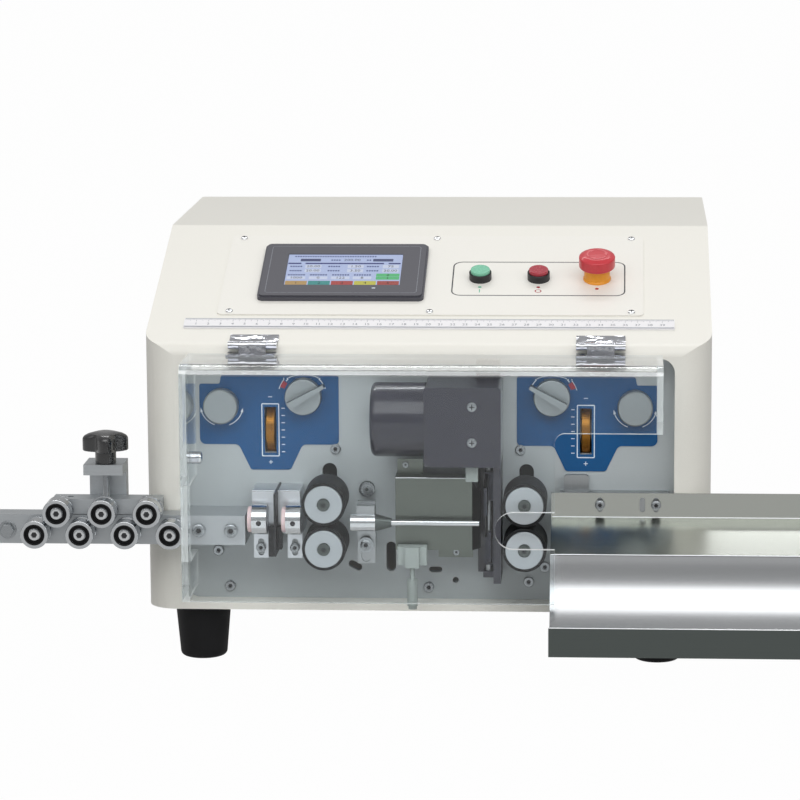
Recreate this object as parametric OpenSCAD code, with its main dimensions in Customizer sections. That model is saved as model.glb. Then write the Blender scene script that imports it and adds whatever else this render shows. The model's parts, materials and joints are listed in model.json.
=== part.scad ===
// Bench-top automatic wire cutting and stripping machine.
// Millimetres, +Z up. The origin is on the floor under the middle of the cabinet,
// the wire runs along +X, and the working side faces -Y.

/* [Cabinet] */
// Width of the sheet-metal cabinet
cab_w = 460; // [440:1:520]
// Depth of the cabinet
cab_d = 420; // [390:1:480]
// Height of the cabinet without its feet
cab_h = 292; // [280:1:330]
// Height of the upright front, up to the start of the slope
front_h = 217.5; // [214:0.5:226]
// Distance from the front to the ridge at the top of the slope
ridge_y = 202; // [196:1:230]
// Thickness of the cabinet sheet
sheet_t = 2; // [1.5:0.1:3]
// Radius of the upright front corners
corner_r = 25; // [10:1:28]
// Radius between the front and the slope
lip_r = 10; // [4:1:14]
// Width of the frame at each side of the front opening
frame_side = 30; // [26:0.5:32]
// Height of the frame below the front opening
frame_low = 6; // [5:0.5:9]
// Height of the front opening
open_h = 203; // [201:0.5:206]
// Corner radius of the front opening
open_r = 12; // [6:1:16]
// Height of the rubber feet
foot_h = 45; // [30:1:60]
// Diameter of a foot at the top
foot_top_d = 46; // [40:1:50]
// Diameter of a foot at the floor
foot_low_d = 38; // [32:1:39]
// Distance of a foot's axis from the cabinet's side
foot_in_x = 43; // [36:1:60]
// Distance of a foot's axis from the cabinet's front or rear
foot_in_y = 30; // [28:1:60]
// Diameter of the bolt hole through a foot
foot_bore = 5.5; // [4.2:0.1:8]

/* [Front plate] */
// How far the mechanism plate lies behind the cabinet's front
plate_recess = 20; // [18:0.5:22]
// Thickness of the mechanism plate
plate_t = 8; // [6:0.5:8]
// How far the plate laps behind the frame of the opening
plate_lap = 5; // [3:0.5:8]

/* [Control panel] */
// Width of the control panel
panel_w = 350; // [340:1:380]
// Length of the control panel up the slope
panel_l = 140; // [138:1:144]
// Thickness of the control panel
panel_t = 1.2; // [0.8:0.1:3]
// Distance up the slope from the front edge to the panel
panel_s = 53; // [50:0.5:56]
// Width of the touch screen's bezel
hmi_w = 138; // [130:1:146]
// Length of the bezel up the slope
hmi_l = 95; // [90:0.5:104]
// Thickness of the bezel
hmi_t = 4.8; // [4:0.1:8]
// Distance from the panel's left end to the bezel
hmi_in = 31; // [26:0.5:36]
// Place of the bezel's middle up the slope
hmi_s = 123; // [120:0.5:128]
// Width of the glass
glass_w = 96; // [90:0.5:110]
// Length of the glass up the slope
glass_l = 54.5; // [50:0.5:62]
// How far the glass lies below the bezel's middle
glass_drop = 0; // [0:0.5:8]
// Distance from the panel's right end to the emergency stop's axis
estop_in = 38.5; // [36:0.5:42]
// Distance from one button to the next
button_gap = 48.5; // [44:0.5:50]
// Place of the buttons up the slope
button_s = 116; // [104:0.5:128]
// Radius of a push button's head
head_r = 8.1; // [7.5:0.1:10]
// Stroke of the start and stop buttons
button_stroke = 2; // [1:0.1:2.6]
// Radius of the emergency stop's mushroom head
mushroom_r = 15; // [13:0.1:18]
// Stroke of the emergency stop
estop_stroke = 4; // [2:0.1:4.4]
// Length of the ruler
ruler_w = 400; // [380:10:420]
// Width of the ruler
ruler_l = 14.5; // [12:0.5:17]
// Thickness of the ruler
ruler_t = 2; // [1:0.1:3]
// Distance up the slope from the front edge to the ruler
ruler_s = 30; // [28:0.5:33]

/* [Wire path] */
// Height of the wire above the cabinet's bottom
wire_z = 78.5; // [77:0.25:80]
// How far the wire runs in front of the cabinet
wire_y = 24; // [23:0.25:25]

/* [Feed wheels] */
// Distance of each wheel pair from the middle
feed_x = 80.4; // [79.5:0.1:81.5]
// Height between the two wheels of a pair
wheel_pitch = 36.4; // [36:0.1:38]
// Radius of the rubber tyre
tyre_r = 17.7; // [17:0.1:17.8]
// Length of the tyre
tyre_l = 38; // [34:0.5:40]
// Radius of the hub inside the tyre
hub_r = 13.5; // [11:0.1:15]
// Radius of the face disc
face_r = 15.2; // [14:0.1:16.5]
// Thickness of the face disc
face_t = 2; // [1.5:0.1:3]
// How far the face disc stands in front of the cabinet
face_y = 44; // [42:0.5:46]
// Radius of the wheel shafts
shaft_r = 4; // [3.5:0.1:4.2]
// Number of teeth on each feed gear
gear_teeth = 14; // [12:2:16]
// Face width of the feed gears
gear_w = 12; // [8:0.5:12]
// How far the upper wheels lift
lift = 5; // [3:0.1:5.4]

/* [Feed adjusters] */
// Distance of the lift selectors from the middle
selector_u = 101; // [99:0.5:102]
// Height of the lift selectors
selector_z = 174.5; // [173:0.5:176]
// Radius of a lift selector
selector_r = 14.8; // [13:0.1:15.5]
// Angle that a lift selector turns
selector_turn = 90; // [80:1:100]
// Distance of the thumbwheels from the middle
thumb_u = 128.5; // [127:0.5:130]
// Height of the thumbwheels
thumb_z = 146; // [145:0.5:148]
// Radius of a thumbwheel
thumb_r = 20; // [19:0.1:20.5]
// Width of a thumbwheel
thumb_w = 7.5; // [6:0.1:9]
// How far a thumbwheel stands out of the plate
thumb_out = 4.5; // [3.5:0.1:5]
// Height of the slot that a thumbwheel shows through
thumb_slot = 38; // [38:0.5:41]
// Distance of the pressure caps' axes from the side of the opening
cap_in = 31.7; // [30:0.1:34]
// Height of the pressure caps
cap_z = 166.5; // [165:0.5:168]
// Radius of a pressure cap
cap_r = 14.2; // [12:0.1:15]

/* [Cutter] */
// Stroke of each blade
blade_stroke = 9; // [6:0.5:10]
// Half the gap between the open blades
blade_open = 7; // [6:0.5:8]
// Thickness of a blade
blade_t = 2.6; // [2:0.1:2.8]
// Sideways place of the lead screw
screw_x = 50.8; // [50.6:0.1:51]
// Radius of the lead screw
screw_r = 3; // [2.5:0.1:3.2]
// Outer radius of the guide tube
tube_r = 2.5; // [2:0.1:3]
// Bore radius of the guide tube
tube_bore = 1.75; // [1:0.05:1.9]
// Sideways place of the tube's end
tube_end = 43.5; // [38:0.5:43.5]

/* [Straightener] */
// Sideways place of the rail's left end
rail_left = -362; // [-380:1:-350]
// Height of the rail
rail_h = 24; // [20:0.5:26]
// Depth of the rail
rail_d = 20; // [16:0.5:22]
// Distance from one roller to the next in a row
roller_gap = 36.6; // [36:0.1:38]
// Sideways place of the middle upper roller
roller_x = -260; // [-262:0.5:-258]
// Radius of a roller
roller_r = 11.4; // [10.5:0.1:12]
// Length of a roller
roller_l = 20; // [18:0.5:22]
// Height of a roller's axis above or below the wire
roller_rise = 8.7; // [8.5:0.1:9.5]
// Height of the upper bar
bar_h = 12.5; // [12:0.5:14]
// How far the upper bar lifts
bar_lift = 6; // [3:0.5:6]
// Diameter of the clamp knob
knob_d = 37; // [32:1:42]

/* [Cover] */
// Thickness of the clear sheet
cover_t = 5; // [3:0.5:6]
// How far the cover stands in front of the cabinet
cover_y = 70; // [68:1:90]
// Left edge of the cover
cover_left = -192; // [-196:1:-190]
// Right edge of the cover
cover_right = 190; // [188:1:200]
// Right edge of the cover's lower part
cover_low_right = 105; // [103:1:106]
// Height of the cover's top face
cover_top = 213; // [212:0.5:214]
// Height of the cover's lower edge
cover_low = 22; // [18:1:30]
// Height of the step at the cover's right
cover_step = 160; // [140:1:165]
// Radius of the bend along the cover's front
cover_bend = 10; // [7:0.5:14]

/* [Tray] */
// Left end of the tray
tray_left = 101; // [100.5:0.5:103]
// Length of the tray
tray_l = 299; // [240:1:400]
// Thickness of the tray sheet
tray_t = 1.5; // [1:0.1:2]
// Radius of the trough
trough_r = 66; // [60:1:70]
// Height of the tray's front lip
lip_h = 23; // [15:1:30]

/* [Hidden] */
$fn = 64;
eps = 0.01;
run_gap = 0.05;
gap = 0.3;

// Derived places: y counts back from the cabinet's front, z up from its bottom.
front_y = -cab_d / 2;
base_z = foot_h;
slope_a = atan((cab_h - front_h) / ridge_y);
plate_y = plate_recess;
plate_back = plate_y + plate_t;
open_w = cab_w - 2 * frame_side;
hmi_x = -panel_w / 2 + hmi_in + hmi_w / 2;
button_x = panel_w / 2 - estop_in - 2 * button_gap;
cap_u = open_w / 2 - cap_in;
wheel_low = wire_z - wheel_pitch / 2;
wheel_high = wire_z + wheel_pitch / 2;
tyre_y = -face_y + face_t;
tyre_back = tyre_y + tyre_l;

// Corner helpers: unit vector, and a rounded outline whose arcs are true circles.
function unit(v) = v / norm(v);
function cross2(a, b) = a[0] * b[1] - a[1] * b[0];
function corner(p, r, i) = let(
    n = len(p), a = unit(p[(i + n - 1) % n] - p[i]), b = unit(p[(i + 1) % n] - p[i]),
    half = acos(a * b) / 2, t = r / tan(half))
  [p[i] + a * t, p[i] + b * t, p[i] + unit(a + b) * (r / sin(half)), cross2(-a, b)];
module rounded(p, r) {
  c = [for (i = [0:len(p) - 1]) corner(p, r[i], i)];
  difference() {
    union() {
      polygon([for (i = [0:len(p) - 1]) for (q = r[i] > 0 ? [c[i][0], c[i][1]] : [p[i]]) q]);
      for (i = [0:len(p) - 1])
        if (r[i] > 0 && c[i][3] > 0) sector(p[i], c[i], r[i]);
    }
    for (i = [0:len(p) - 1])
      if (r[i] > 0 && c[i][3] < 0) sector(p[i], c[i], r[i]);
  }
}
module sector(p, c, r) {
  intersection() {
    translate(c[2]) circle(r);
    polygon([p, c[0], c[2], c[1]]);
  }
}
module round_rect(w, h, r) {
  rounded([[-w / 2, -h / 2], [w / 2, -h / 2], [w / 2, h / 2], [-w / 2, h / 2]], [r, r, r, r]);
}
module slot2d(w, h) {
  r = min(w, h) / 2;
  square([w - (w > h ? 2 * r : 0), h - (h > w ? 2 * r : 0)], center = true);
  for (s = [-1, 1]) translate(w > h ? [s * (w / 2 - r), 0] : [0, s * (h / 2 - r)]) circle(r);
}

// Placing helpers in the cabinet's own measures.
module at(x, y, z) { translate([x, front_y + y, base_z + z]) children(); }
module block(x0, x1, y0, y1, z0, z1) { at(x0, y0, z0) cube([x1 - x0, y1 - y0, z1 - z0]); }
module rod_x(y, z, x0, x1, r, r2 = 0) {
  at(x0, y, z) rotate([0, 90, 0]) cylinder(h = x1 - x0, r1 = r, r2 = r2 > 0 ? r2 : r);
}
module rod_y(x, z, y0, y1, r) { at(x, y1, z) rotate([90, 0, 0]) cylinder(h = y1 - y0, r = r); }
module rod_z(x, y, z0, z1, r) { at(x, y, z0) cylinder(h = z1 - z0, r = r); }
// An outline in x and z, from y0 back to y1.
module face_xz(y0, y1) { at(0, y1, 0) rotate([90, 0, 0]) linear_extrude(y1 - y0) children(); }
// An outline in y and z, from x0 to x1.
module side_yz(x0, x1) { at(x0, 0, 0) rotate([90, 0, 90]) linear_extrude(x1 - x0) children(); }
// An outline in x and y, from z0 up to z1.
module plan_xy(z0, z1) { at(0, 0, z0) linear_extrude(z1 - z0) children(); }
// A place on the slope: s up the slope from the front edge, h out of it.
module on_slope(x, s, h) { at(x, 0, front_h) rotate([slope_a, 0, 0]) translate([0, s, h]) children(); }
// A turned piece about the y axis through x and z, whose outline is radius and depth from y.
module turned_y(x, z, y) { at(x, y, z) rotate([-90, 0, 0]) rotate_extrude() children(); }
module mirrored(side) { if (side < 0) mirror([1, 0, 0]) children(); else children(); }

// Cabinet: a bent and rounded sheet shell with a framed front opening.
foot_x = cab_w / 2 - foot_in_x;
open_z = frame_low + open_h / 2;
ridge_r = 6;
rear_r = 3;
window_in = 12;
module shell_block(inset, over) {
  rise = inset / cos(slope_a);
  low = front_h + inset * tan(slope_a) - rise;
  ridge = (cab_h - inset - front_h + rise) / tan(slope_a);
  intersection() {
    side_yz(-cab_w, cab_w)
      rounded([[inset, -over], [cab_d + over, -over], [cab_d + over, cab_h - inset],
        [ridge, cab_h - inset], [inset, low]], [0, 0, 0, ridge_r, lip_r - inset]);
    plan_xy(-over, cab_h)
      rounded([[-cab_w / 2 + inset, inset], [cab_w / 2 - inset, inset],
        [cab_w / 2 - inset, cab_d + over], [-cab_w / 2 + inset, cab_d + over]],
        [corner_r - inset, corner_r - inset, over > 0 ? 0 : rear_r, over > 0 ? 0 : rear_r]);
  }
}
module cabinet_shell() {
  color("#ecebe2") difference() {
    union() {
      difference() {
        shell_block(0, 0);
        shell_block(sheet_t, 1);
      }
      face_xz(sheet_t / 2, plate_y)
        translate([0, open_z])
          round_rect(open_w + 2 * sheet_t, open_h + 2 * sheet_t, open_r + sheet_t);
    }
    face_xz(-1, plate_y + 1) translate([0, open_z]) round_rect(open_w, open_h, open_r);
    on_slope(-panel_w / 2 + window_in, panel_s + window_in, -3 * sheet_t)
      cube([panel_w - 2 * window_in, panel_l - 2 * window_in, 6 * sheet_t]);
  }
}

// Chassis: base and rear panel bent from one sheet, with vent slots and the inlet's cut-out.
inlet_x = cab_w / 2 - 80;
inlet_z = 62;
inlet_w = 50;
inlet_h = 62;
vent_rows = 9;
vent_w = 110;
vent_gap = 11;
vent_h = 4;
vent_z = 180;
module chassis() {
  side = sheet_t + gap;
  color("#d9d8d0") difference() {
    union() {
      plan_xy(0, sheet_t)
        rounded([[-cab_w / 2 + side, side], [cab_w / 2 - side, side],
          [cab_w / 2 - side, cab_d], [-cab_w / 2 + side, cab_d]],
          [corner_r - side, corner_r - side, 0, 0]);
      block(-cab_w / 2 + side, cab_w / 2 - side, cab_d - sheet_t, cab_d, 0, cab_h - sheet_t - gap);
    }
    for (x = [-foot_x, foot_x])
      for (y = [foot_in_y, cab_d - foot_in_y]) rod_z(x, y, -1, sheet_t + 1, foot_bore / 2);
    face_xz(cab_d - sheet_t - 1, cab_d + 1) {
      translate([inlet_x, inlet_z]) square([inlet_w - 10, inlet_h - 10], center = true);
      for (x = [-1, 1])
        for (i = [0:vent_rows - 1])
          translate([x * vent_w * 0.62, vent_z + (i - (vent_rows - 1) / 2) * vent_gap])
            slot2d(vent_w, vent_h);
    }
  }
}

module rubber_feet() {
  edge_r = 4;
  color("#1c1c1c")
    for (x = [-foot_x, foot_x])
      for (y = [foot_in_y, cab_d - foot_in_y])
        at(x, y, -foot_h) rotate_extrude()
          rounded([[foot_bore / 2, 0], [foot_low_d / 2, 0], [foot_top_d / 2, foot_h],
            [foot_bore / 2, foot_h]], [0, edge_r, 0, 0]);
}

// Mechanism plate behind the opening, with the bores and slots of the feed units.
slot_w = 12;
slot_rise = 22;
stub_r = 5;
bush_r = 8;
plate_w = open_w + 2 * plate_lap;
plate_low = frame_low - 3;
plate_h = open_h + 3 + plate_lap;
module unit_holes() {
  translate([feed_x, wheel_low]) circle(bush_r);
  translate([feed_x, wheel_high + slot_rise / 2 - slot_w / 2]) slot2d(slot_w, slot_rise + slot_w);
  translate([selector_u, selector_z]) circle(stub_r + gap);
  translate([cap_u, cap_z]) circle(stub_r + gap);
  translate([thumb_u, thumb_z]) square([thumb_w + 2, thumb_slot], center = true);
}
module front_plate() {
  color("#a9abac") face_xz(plate_y, plate_back) difference() {
    translate([0, plate_low + plate_h / 2]) round_rect(plate_w, plate_h, open_r);
    unit_holes();
    mirror([1, 0]) unit_holes();
    translate([arm_x, arm_z]) circle(pivot_r);
    translate([-30.5, 41]) slot2d(8, 25);
    translate([6, 30.4]) slot2d(11, 5);
    translate([-60, 33.3]) rotate(-28) slot2d(12, 6);
    translate([22.4, 21.7]) circle(2.5);
  }
}

// Control panel on the slope, with its touch screen, buttons and ruler.
barrel_r = 8;
hmi_face = panel_t + hmi_t;
glass_t = 1.2;
glass_sink = 0.5;
module control_panel() {
  color("#e6e5dd") difference() {
    on_slope(0, panel_s + panel_l / 2, 0) linear_extrude(panel_t) round_rect(panel_w, panel_l, 4);
    for (i = [0:2])
      on_slope(button_x + i * button_gap, button_s, -1) cylinder(h = panel_t + 2, r = barrel_r + run_gap);
  }
}
module hmi_bezel() {
  lip = 1.5;
  color("#4a4d50") difference() {
    union() {
      on_slope(hmi_x, hmi_s, panel_t) linear_extrude(hmi_t - lip) round_rect(hmi_w, hmi_l, 5);
      on_slope(hmi_x, hmi_s, hmi_face - lip) linear_extrude(lip)
        round_rect(hmi_w - 2 * lip, hmi_l - 2 * lip, 4);
    }
    on_slope(hmi_x, hmi_s - glass_drop, hmi_face - glass_t - glass_sink) linear_extrude(hmi_t)
      square([glass_w + 2 * gap, glass_l + 2 * gap], center = true);
  }
}
module hmi_screen() {
  color("#9fc6e8") on_slope(hmi_x, hmi_s - glass_drop, hmi_face - glass_t - glass_sink)
    linear_extrude(glass_t) square([glass_w, glass_l], center = true);
}
module ruler_strip() {
  bevel = 1;
  color("#f2f2ee") at(-ruler_w / 2, 0, front_h) rotate([slope_a, 0, 0]) translate([0, ruler_s, 0])
    rotate([90, 0, 90]) linear_extrude(ruler_w)
      polygon([[0, 0], [ruler_l, 0], [ruler_l, ruler_t - bevel], [ruler_l - bevel, ruler_t],
        [bevel * 2, ruler_t], [0, ruler_t - bevel]]);
}
collar_wall = 1.2;
collar_edge = 0.4;
collar_h = 6.5;
stem_r = 4.6;
head_h = 6.1;
head_low = panel_t + button_stroke + 1;
barrel_l = 18;
sleeve_r = 10.7;
sleeve_h = 13;
estop_stem_r = 6;
module push_collar() {
  rotate_extrude() polygon([[stem_r + 0.4, -barrel_l], [barrel_r, -barrel_l], [barrel_r, panel_t],
    [head_r + collar_wall, panel_t], [head_r + collar_wall, panel_t + collar_h - collar_edge],
    [head_r + collar_wall - collar_edge, panel_t + collar_h], [head_r + 0.4, panel_t + collar_h],
    [head_r + 0.4, panel_t + 0.5], [stem_r + 0.4, panel_t + 0.5]]);
}
module button_collars() {
  color("#202020") {
    for (i = [0, 1]) on_slope(button_x + i * button_gap, button_s, 0) push_collar();
    on_slope(button_x + 2 * button_gap, button_s, 0) rotate_extrude()
      polygon([[estop_stem_r + gap, -barrel_l], [barrel_r, -barrel_l], [barrel_r, panel_t],
        [sleeve_r + 0.8, panel_t], [sleeve_r + 0.8, panel_t + 1.2], [sleeve_r, panel_t + 2],
        [sleeve_r, panel_t + sleeve_h], [estop_stem_r + gap, panel_t + sleeve_h]]);
  }
}
module push_head() {
  dome = 0.8;
  rotate_extrude() rounded([[0, -barrel_l + 6], [stem_r, -barrel_l + 6], [stem_r, head_low],
    [head_r, head_low], [head_r, head_low + head_h], [0, head_low + head_h]], [0, 0, 0, 0, dome, 0]);
}
module start_button() { color("#1f8a4c") on_slope(button_x, button_s, 0) push_head(); }
module stop_button() { color("#c9262b") on_slope(button_x + button_gap, button_s, 0) push_head(); }
module estop_button() {
  skirt = panel_t + sleeve_h - 1;
  roof = skirt + estop_stroke + 1.5;
  crown = skirt + 11;
  color("#d3262a") on_slope(button_x + 2 * button_gap, button_s, 0) rotate_extrude()
    rounded([[0, -barrel_l + 6], [estop_stem_r, -barrel_l + 6], [estop_stem_r, roof],
      [sleeve_r + 0.5, roof], [sleeve_r + 0.5, skirt], [mushroom_r, skirt], [mushroom_r, crown - 2],
      [mushroom_r - 4, crown], [0, crown + 0.6]], [0, 0, 0, 0, 0, 1, 1.5, 4, 0]);
}

// Blue plates of the feed units, one the mirror image of the other.
label_t = 0.6;
label_in = selector_u - 28.5;
label_out = open_w / 2 - 13.5;
label_low = 134;
label_top = 192;
tab_low = 113;
tab_w = 32.5;
tab_slant = 10;
notch_w = 16.5;
notch_h = 8;
module label_outline() {
  difference() {
    rounded([[label_in, label_low], [thumb_u - tab_w / 2 - tab_slant, label_low],
      [thumb_u - tab_w / 2, tab_low], [thumb_u + tab_w / 2, tab_low],
      [thumb_u + tab_w / 2 + tab_slant, label_low], [label_out, label_low],
      [label_out, label_top - notch_h], [label_out - notch_w, label_top - notch_h],
      [label_out - notch_w - 2, label_top], [label_in, label_top]], [4, 5, 3, 3, 5, 5, 2, 1, 1, 3]);
    translate([selector_u, selector_z]) circle(stub_r + 1);
    translate([cap_u, cap_z]) circle(stub_r + 1);
    translate([thumb_u, thumb_z]) square([thumb_w + 2, thumb_slot], center = true);
  }
}
module feed_labels() {
  color("#2f5f96") for (side = [-1, 1]) mirrored(side)
    face_xz(plate_y - label_t, plate_y) label_outline();
}

// Feed wheels: tyre, spindle with face disc, shaft and gear.
boss_r = 5.6;
crank_y = plate_back + 0.4;
crank_t = 2;
lift_y = crank_y + crank_t + 0.6;
lift_t = 5;
gear_y = lift_y + lift_t + 2;
gear_back = gear_y + gear_w;
motor_y = gear_back + 4;
gear_m = wheel_pitch / gear_teeth;
pressure_a = 20;
backlash = 0.25;
function involute(base, r) = let(c = acos(base / r)) tan(c) * 180 / PI - c;
function flank(base, r, half) = half - involute(base, r);
module gear_outline(phase) {
  pitch_r = gear_m * gear_teeth / 2;
  base = pitch_r * cos(pressure_a);
  tip = pitch_r + gear_m;
  root = pitch_r - 1.25 * gear_m;
  half = 90 / gear_teeth - backlash / pitch_r * 90 / PI + involute(base, pitch_r);
  steps = [base + eps, pitch_r, (pitch_r + tip) / 2, tip];
  polygon([for (i = [0:gear_teeth - 1]) let(a = phase + i * 360 / gear_teeth)
    for (q = concat([[root, -half]], [for (r = steps) [r, -flank(base, r, half)]],
        [for (k = [3:-1:0]) [steps[k], flank(base, steps[k], half)]], [[root, half]]))
      [q[0] * cos(a + q[1]), q[0] * sin(a + q[1])]]);
}
module tyre(side, z) {
  color("#2a2a2c") mirrored(side) difference() {
    rod_y(feed_x, z, tyre_y, tyre_back, tyre_r);
    rod_y(feed_x, z, tyre_y - 1, tyre_back + 1, hub_r + run_gap);
  }
}
module spindle(side, z, back, phase) {
  flange_t = 2;
  bolt_r = 5;
  bolt_h = 1;
  color("#c9cccd") mirrored(side) {
    difference() {
      union() {
        turned_y(feed_x, z, -face_y)
          rounded([[0, 0], [face_r, 0], [face_r, face_t], [0, face_t]], [0, 0.6, 0, 0]);
        rod_y(feed_x, z, tyre_y, tyre_back, hub_r);
        rod_y(feed_x, z, tyre_back, tyre_back + flange_t, face_r);
        rod_y(feed_x, z, tyre_back, back, shaft_r);
        at(feed_x, gear_back, z) rotate([90, 0, 0]) linear_extrude(gear_w) gear_outline(phase);
      }
      rod_y(feed_x, z, -face_y - 1, -face_y + bolt_h, bolt_r + 0.4);
    }
    difference() {
      rod_y(feed_x, z, -face_y - bolt_h, -face_y + bolt_h, bolt_r);
      at(feed_x, -face_y + bolt_h - 0.5, z) rotate([90, 0, 0]) cylinder(h = 3, r = 2.6, $fn = 6);
    }
  }
}
low_phase = 90 + 180 / gear_teeth;
high_phase = -90;
low_back = motor_y + 6;
module tyre_front_lower() { tyre(-1, wheel_low); }
module tyre_front_upper() { tyre(-1, wheel_high); }
module tyre_rear_lower() { tyre(1, wheel_low); }
module tyre_rear_upper() { tyre(1, wheel_high); }
module spindle_front_lower() { spindle(-1, wheel_low, low_back, low_phase); }
module spindle_front_upper() { spindle(-1, wheel_high, gear_back, high_phase); }
module spindle_rear_lower() { spindle(1, wheel_low, low_back, low_phase); }
module spindle_rear_upper() { spindle(1, wheel_high, gear_back, high_phase); }

// Lift: a crank on the selector's shaft raises the plate that carries the upper spindle.
crank_e = lift / (2 * sin(selector_turn / 2));
pin_r = 2.5;
pin_u = selector_u - crank_e * cos(selector_turn / 2);
pin_z = selector_z - crank_e * sin(selector_turn / 2);
module lift_plate(side) {
  play = 0.25;
  reach = 14;
  color("#8d9194") mirrored(side) difference() {
    union() {
      face_xz(lift_y, lift_y + lift_t)
        rounded([[feed_x - reach, wheel_high - reach], [feed_x + reach, wheel_high - reach],
          [feed_x + reach, wheel_high + 20], [pin_u + 10, pin_z - 20], [pin_u + 10, pin_z + 8],
          [pin_u - 10, pin_z + 8], [pin_u - 10, pin_z - 20], [feed_x - reach, wheel_high + 20]],
          [8, 8, 6, 6, 4, 4, 6, 6]);
      rod_y(feed_x, wheel_high, plate_y - 3, lift_y + 1, boss_r);
    }
    rod_y(feed_x, wheel_high, 0, gear_back, shaft_r + run_gap);
    face_xz(lift_y - 1, lift_y + lift_t + 1)
      translate([pin_u - crank_e * (1 - cos(selector_turn / 2)) / 2, pin_z])
        slot2d(2 * (pin_r + play) + crank_e * 0.4, 2 * (pin_r + play));
  }
}
module lift_plate_front() { lift_plate(-1); }
module lift_plate_rear() { lift_plate(1); }
module lift_selector(side) {
  skirt = 9;
  grip_h = 8;
  grip_w = 6;
  grip_sink = 2;
  tail_r = selector_r - 2;
  point_r = selector_r + 5.5;
  point_a = 150;
  low = plate_y - label_t - 0.4;
  color("#b9bec0") mirrored(side) {
    turned_y(selector_u, selector_z, low - skirt)
      rounded([[0, 0], [selector_r, 0], [selector_r, skirt], [0, skirt]], [0, 1, 0, 0]);
    at(selector_u, low - skirt + grip_sink, selector_z) rotate([90, -point_a, 0])
      linear_extrude(grip_h + grip_sink)
      polygon([[-tail_r, -grip_w / 2], [point_r, -grip_w / 4], [point_r, grip_w / 4],
        [-tail_r, grip_w / 2]]);
    rod_y(selector_u, selector_z, low - 1, crank_y + crank_t, stub_r);
    rod_y(selector_u, selector_z, crank_y, crank_y + crank_t, crank_e + pin_r + 1.5);
    rod_y(pin_u, pin_z, crank_y, lift_y + lift_t + 0.5, pin_r);
  }
}
module lift_selector_front() { lift_selector(-1); }
module lift_selector_rear() { lift_selector(1); }

// Pressure thumbwheels behind the plate, and the turned caps beside them.
thumb_y = plate_y - thumb_out + thumb_r;
axle_r = 3;
module thumbwheel(side) {
  color("#c08a3e") mirrored(side) difference() {
    at(thumb_u - thumb_w / 2, thumb_y, thumb_z) rotate([0, 90, 0]) rotate_extrude()
      rounded([[axle_r, 0], [thumb_r, 0], [thumb_r, thumb_w], [axle_r, thumb_w]], [0, 1.2, 1.2, 0]);
    rod_x(thumb_y, thumb_z, thumb_u - thumb_w, thumb_u + thumb_w, axle_r + run_gap);
  }
}
module thumbwheel_front() { thumbwheel(-1); }
module thumbwheel_rear() { thumbwheel(1); }
module pressure_cap(side) {
  cap_h = 11;
  low = plate_y - label_t - 0.4;
  color("#b9bec0") mirrored(side) {
    turned_y(cap_u, cap_z, low - cap_h)
      polygon([[0, 0], [cap_r - 1, 0], [cap_r, 1], [cap_r, cap_h], [0, cap_h]]);
    rod_y(cap_u, cap_z, low - 1, plate_back + gap, stub_r);
    rod_y(cap_u, cap_z, plate_back + gap, plate_back + 5, stub_r + 3);
  }
}
module pressure_cap_front() { pressure_cap(-1); }
module pressure_cap_rear() { pressure_cap(1); }

// Bushes of the lower spindles, and the forks that hold the thumbwheels' axles.
module feed_bearings() {
  flange_r = 11;
  ear_t = 4;
  ear_in = thumb_u - thumb_w / 2 - gap;
  ear_out = thumb_u + thumb_w / 2 + gap;
  color("#9aa0a4") for (side = [-1, 1]) mirrored(side) {
    difference() {
      union() {
        rod_y(feed_x, wheel_low, plate_y, plate_back, bush_r);
        rod_y(feed_x, wheel_low, plate_y - 3, plate_y, flange_r);
      }
      rod_y(feed_x, wheel_low, plate_y - 4, plate_back + 1, shaft_r + run_gap);
    }
    block(ear_in - ear_t, ear_in, plate_back, thumb_y + 8, thumb_z - 8, thumb_z + 8);
    block(ear_out, ear_out + ear_t, plate_back, thumb_y + 8, thumb_z - 8, thumb_z + 8);
    rod_x(thumb_y, thumb_z, ear_in - ear_t, ear_out + ear_t, axle_r);
  }
}

// Stepper motors: two on posts behind the lower spindles, one round motor in the cutter's can.
motor_w = 56.4;
motor_l = 76;
motor_bolt = 47.14;
can_r = 30;
can_t = 2;
can_y = -12;
can_z = 161;
can_left = -43.5;
cut_x0 = 0;
cut_x1 = 61.5;
cut_y = -40;
cut_low = 127;
cut_top = 191.5;
module stepper_motors() {
  color("#3a3c40") {
    for (side = [-1, 1]) mirrored(side) difference() {
      union() {
        face_xz(motor_y, motor_y + motor_l)
          translate([feed_x, wheel_low]) round_rect(motor_w, motor_w, 5);
        for (x = [-1, 1])
          for (z = [-1, 1])
            rod_y(feed_x + x * motor_bolt / 2, wheel_low + z * motor_bolt / 2, plate_back, motor_y + 1, 3.5);
      }
      rod_y(feed_x, wheel_low, motor_y - 1, low_back + 1, shaft_r + run_gap);
    }
    rod_x(can_y, can_z, can_left + can_t + 4, cut_x0, can_r - can_t - 2);
  }
}

// Electronics on the base: mains supply and drive board on posts.
module electronics() {
  side = cab_w / 2 - 30;
  rear_room = 190;
  front = cab_d - rear_room;
  supply = [130, 110, 43];
  board = [side, 120, 1.6];
  board_z = sheet_t + 12;
  post_in = 8;
  sink = [30, 70, 20];
  sink_gap = board[0] / 4.4;
  color("#3d6b4a") {
    block(side - supply[0], side, front, front + supply[1], sheet_t, sheet_t + supply[2]);
    block(-side, board[0] - side, front, front + board[1], board_z, board_z + board[2]);
    for (x = [-side + post_in, board[0] - side - post_in])
      for (y = [front + post_in, front + board[1] - post_in]) rod_z(x, y, sheet_t, board_z + 1, 3);
    for (i = [0:3]) let(x = -side + 2 * post_in + i * sink_gap)
      block(x, x + sink[0], front + 20, front + 20 + sink[1], board_z + 1, board_z + board[2] + sink[2]);
  }
}

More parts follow.
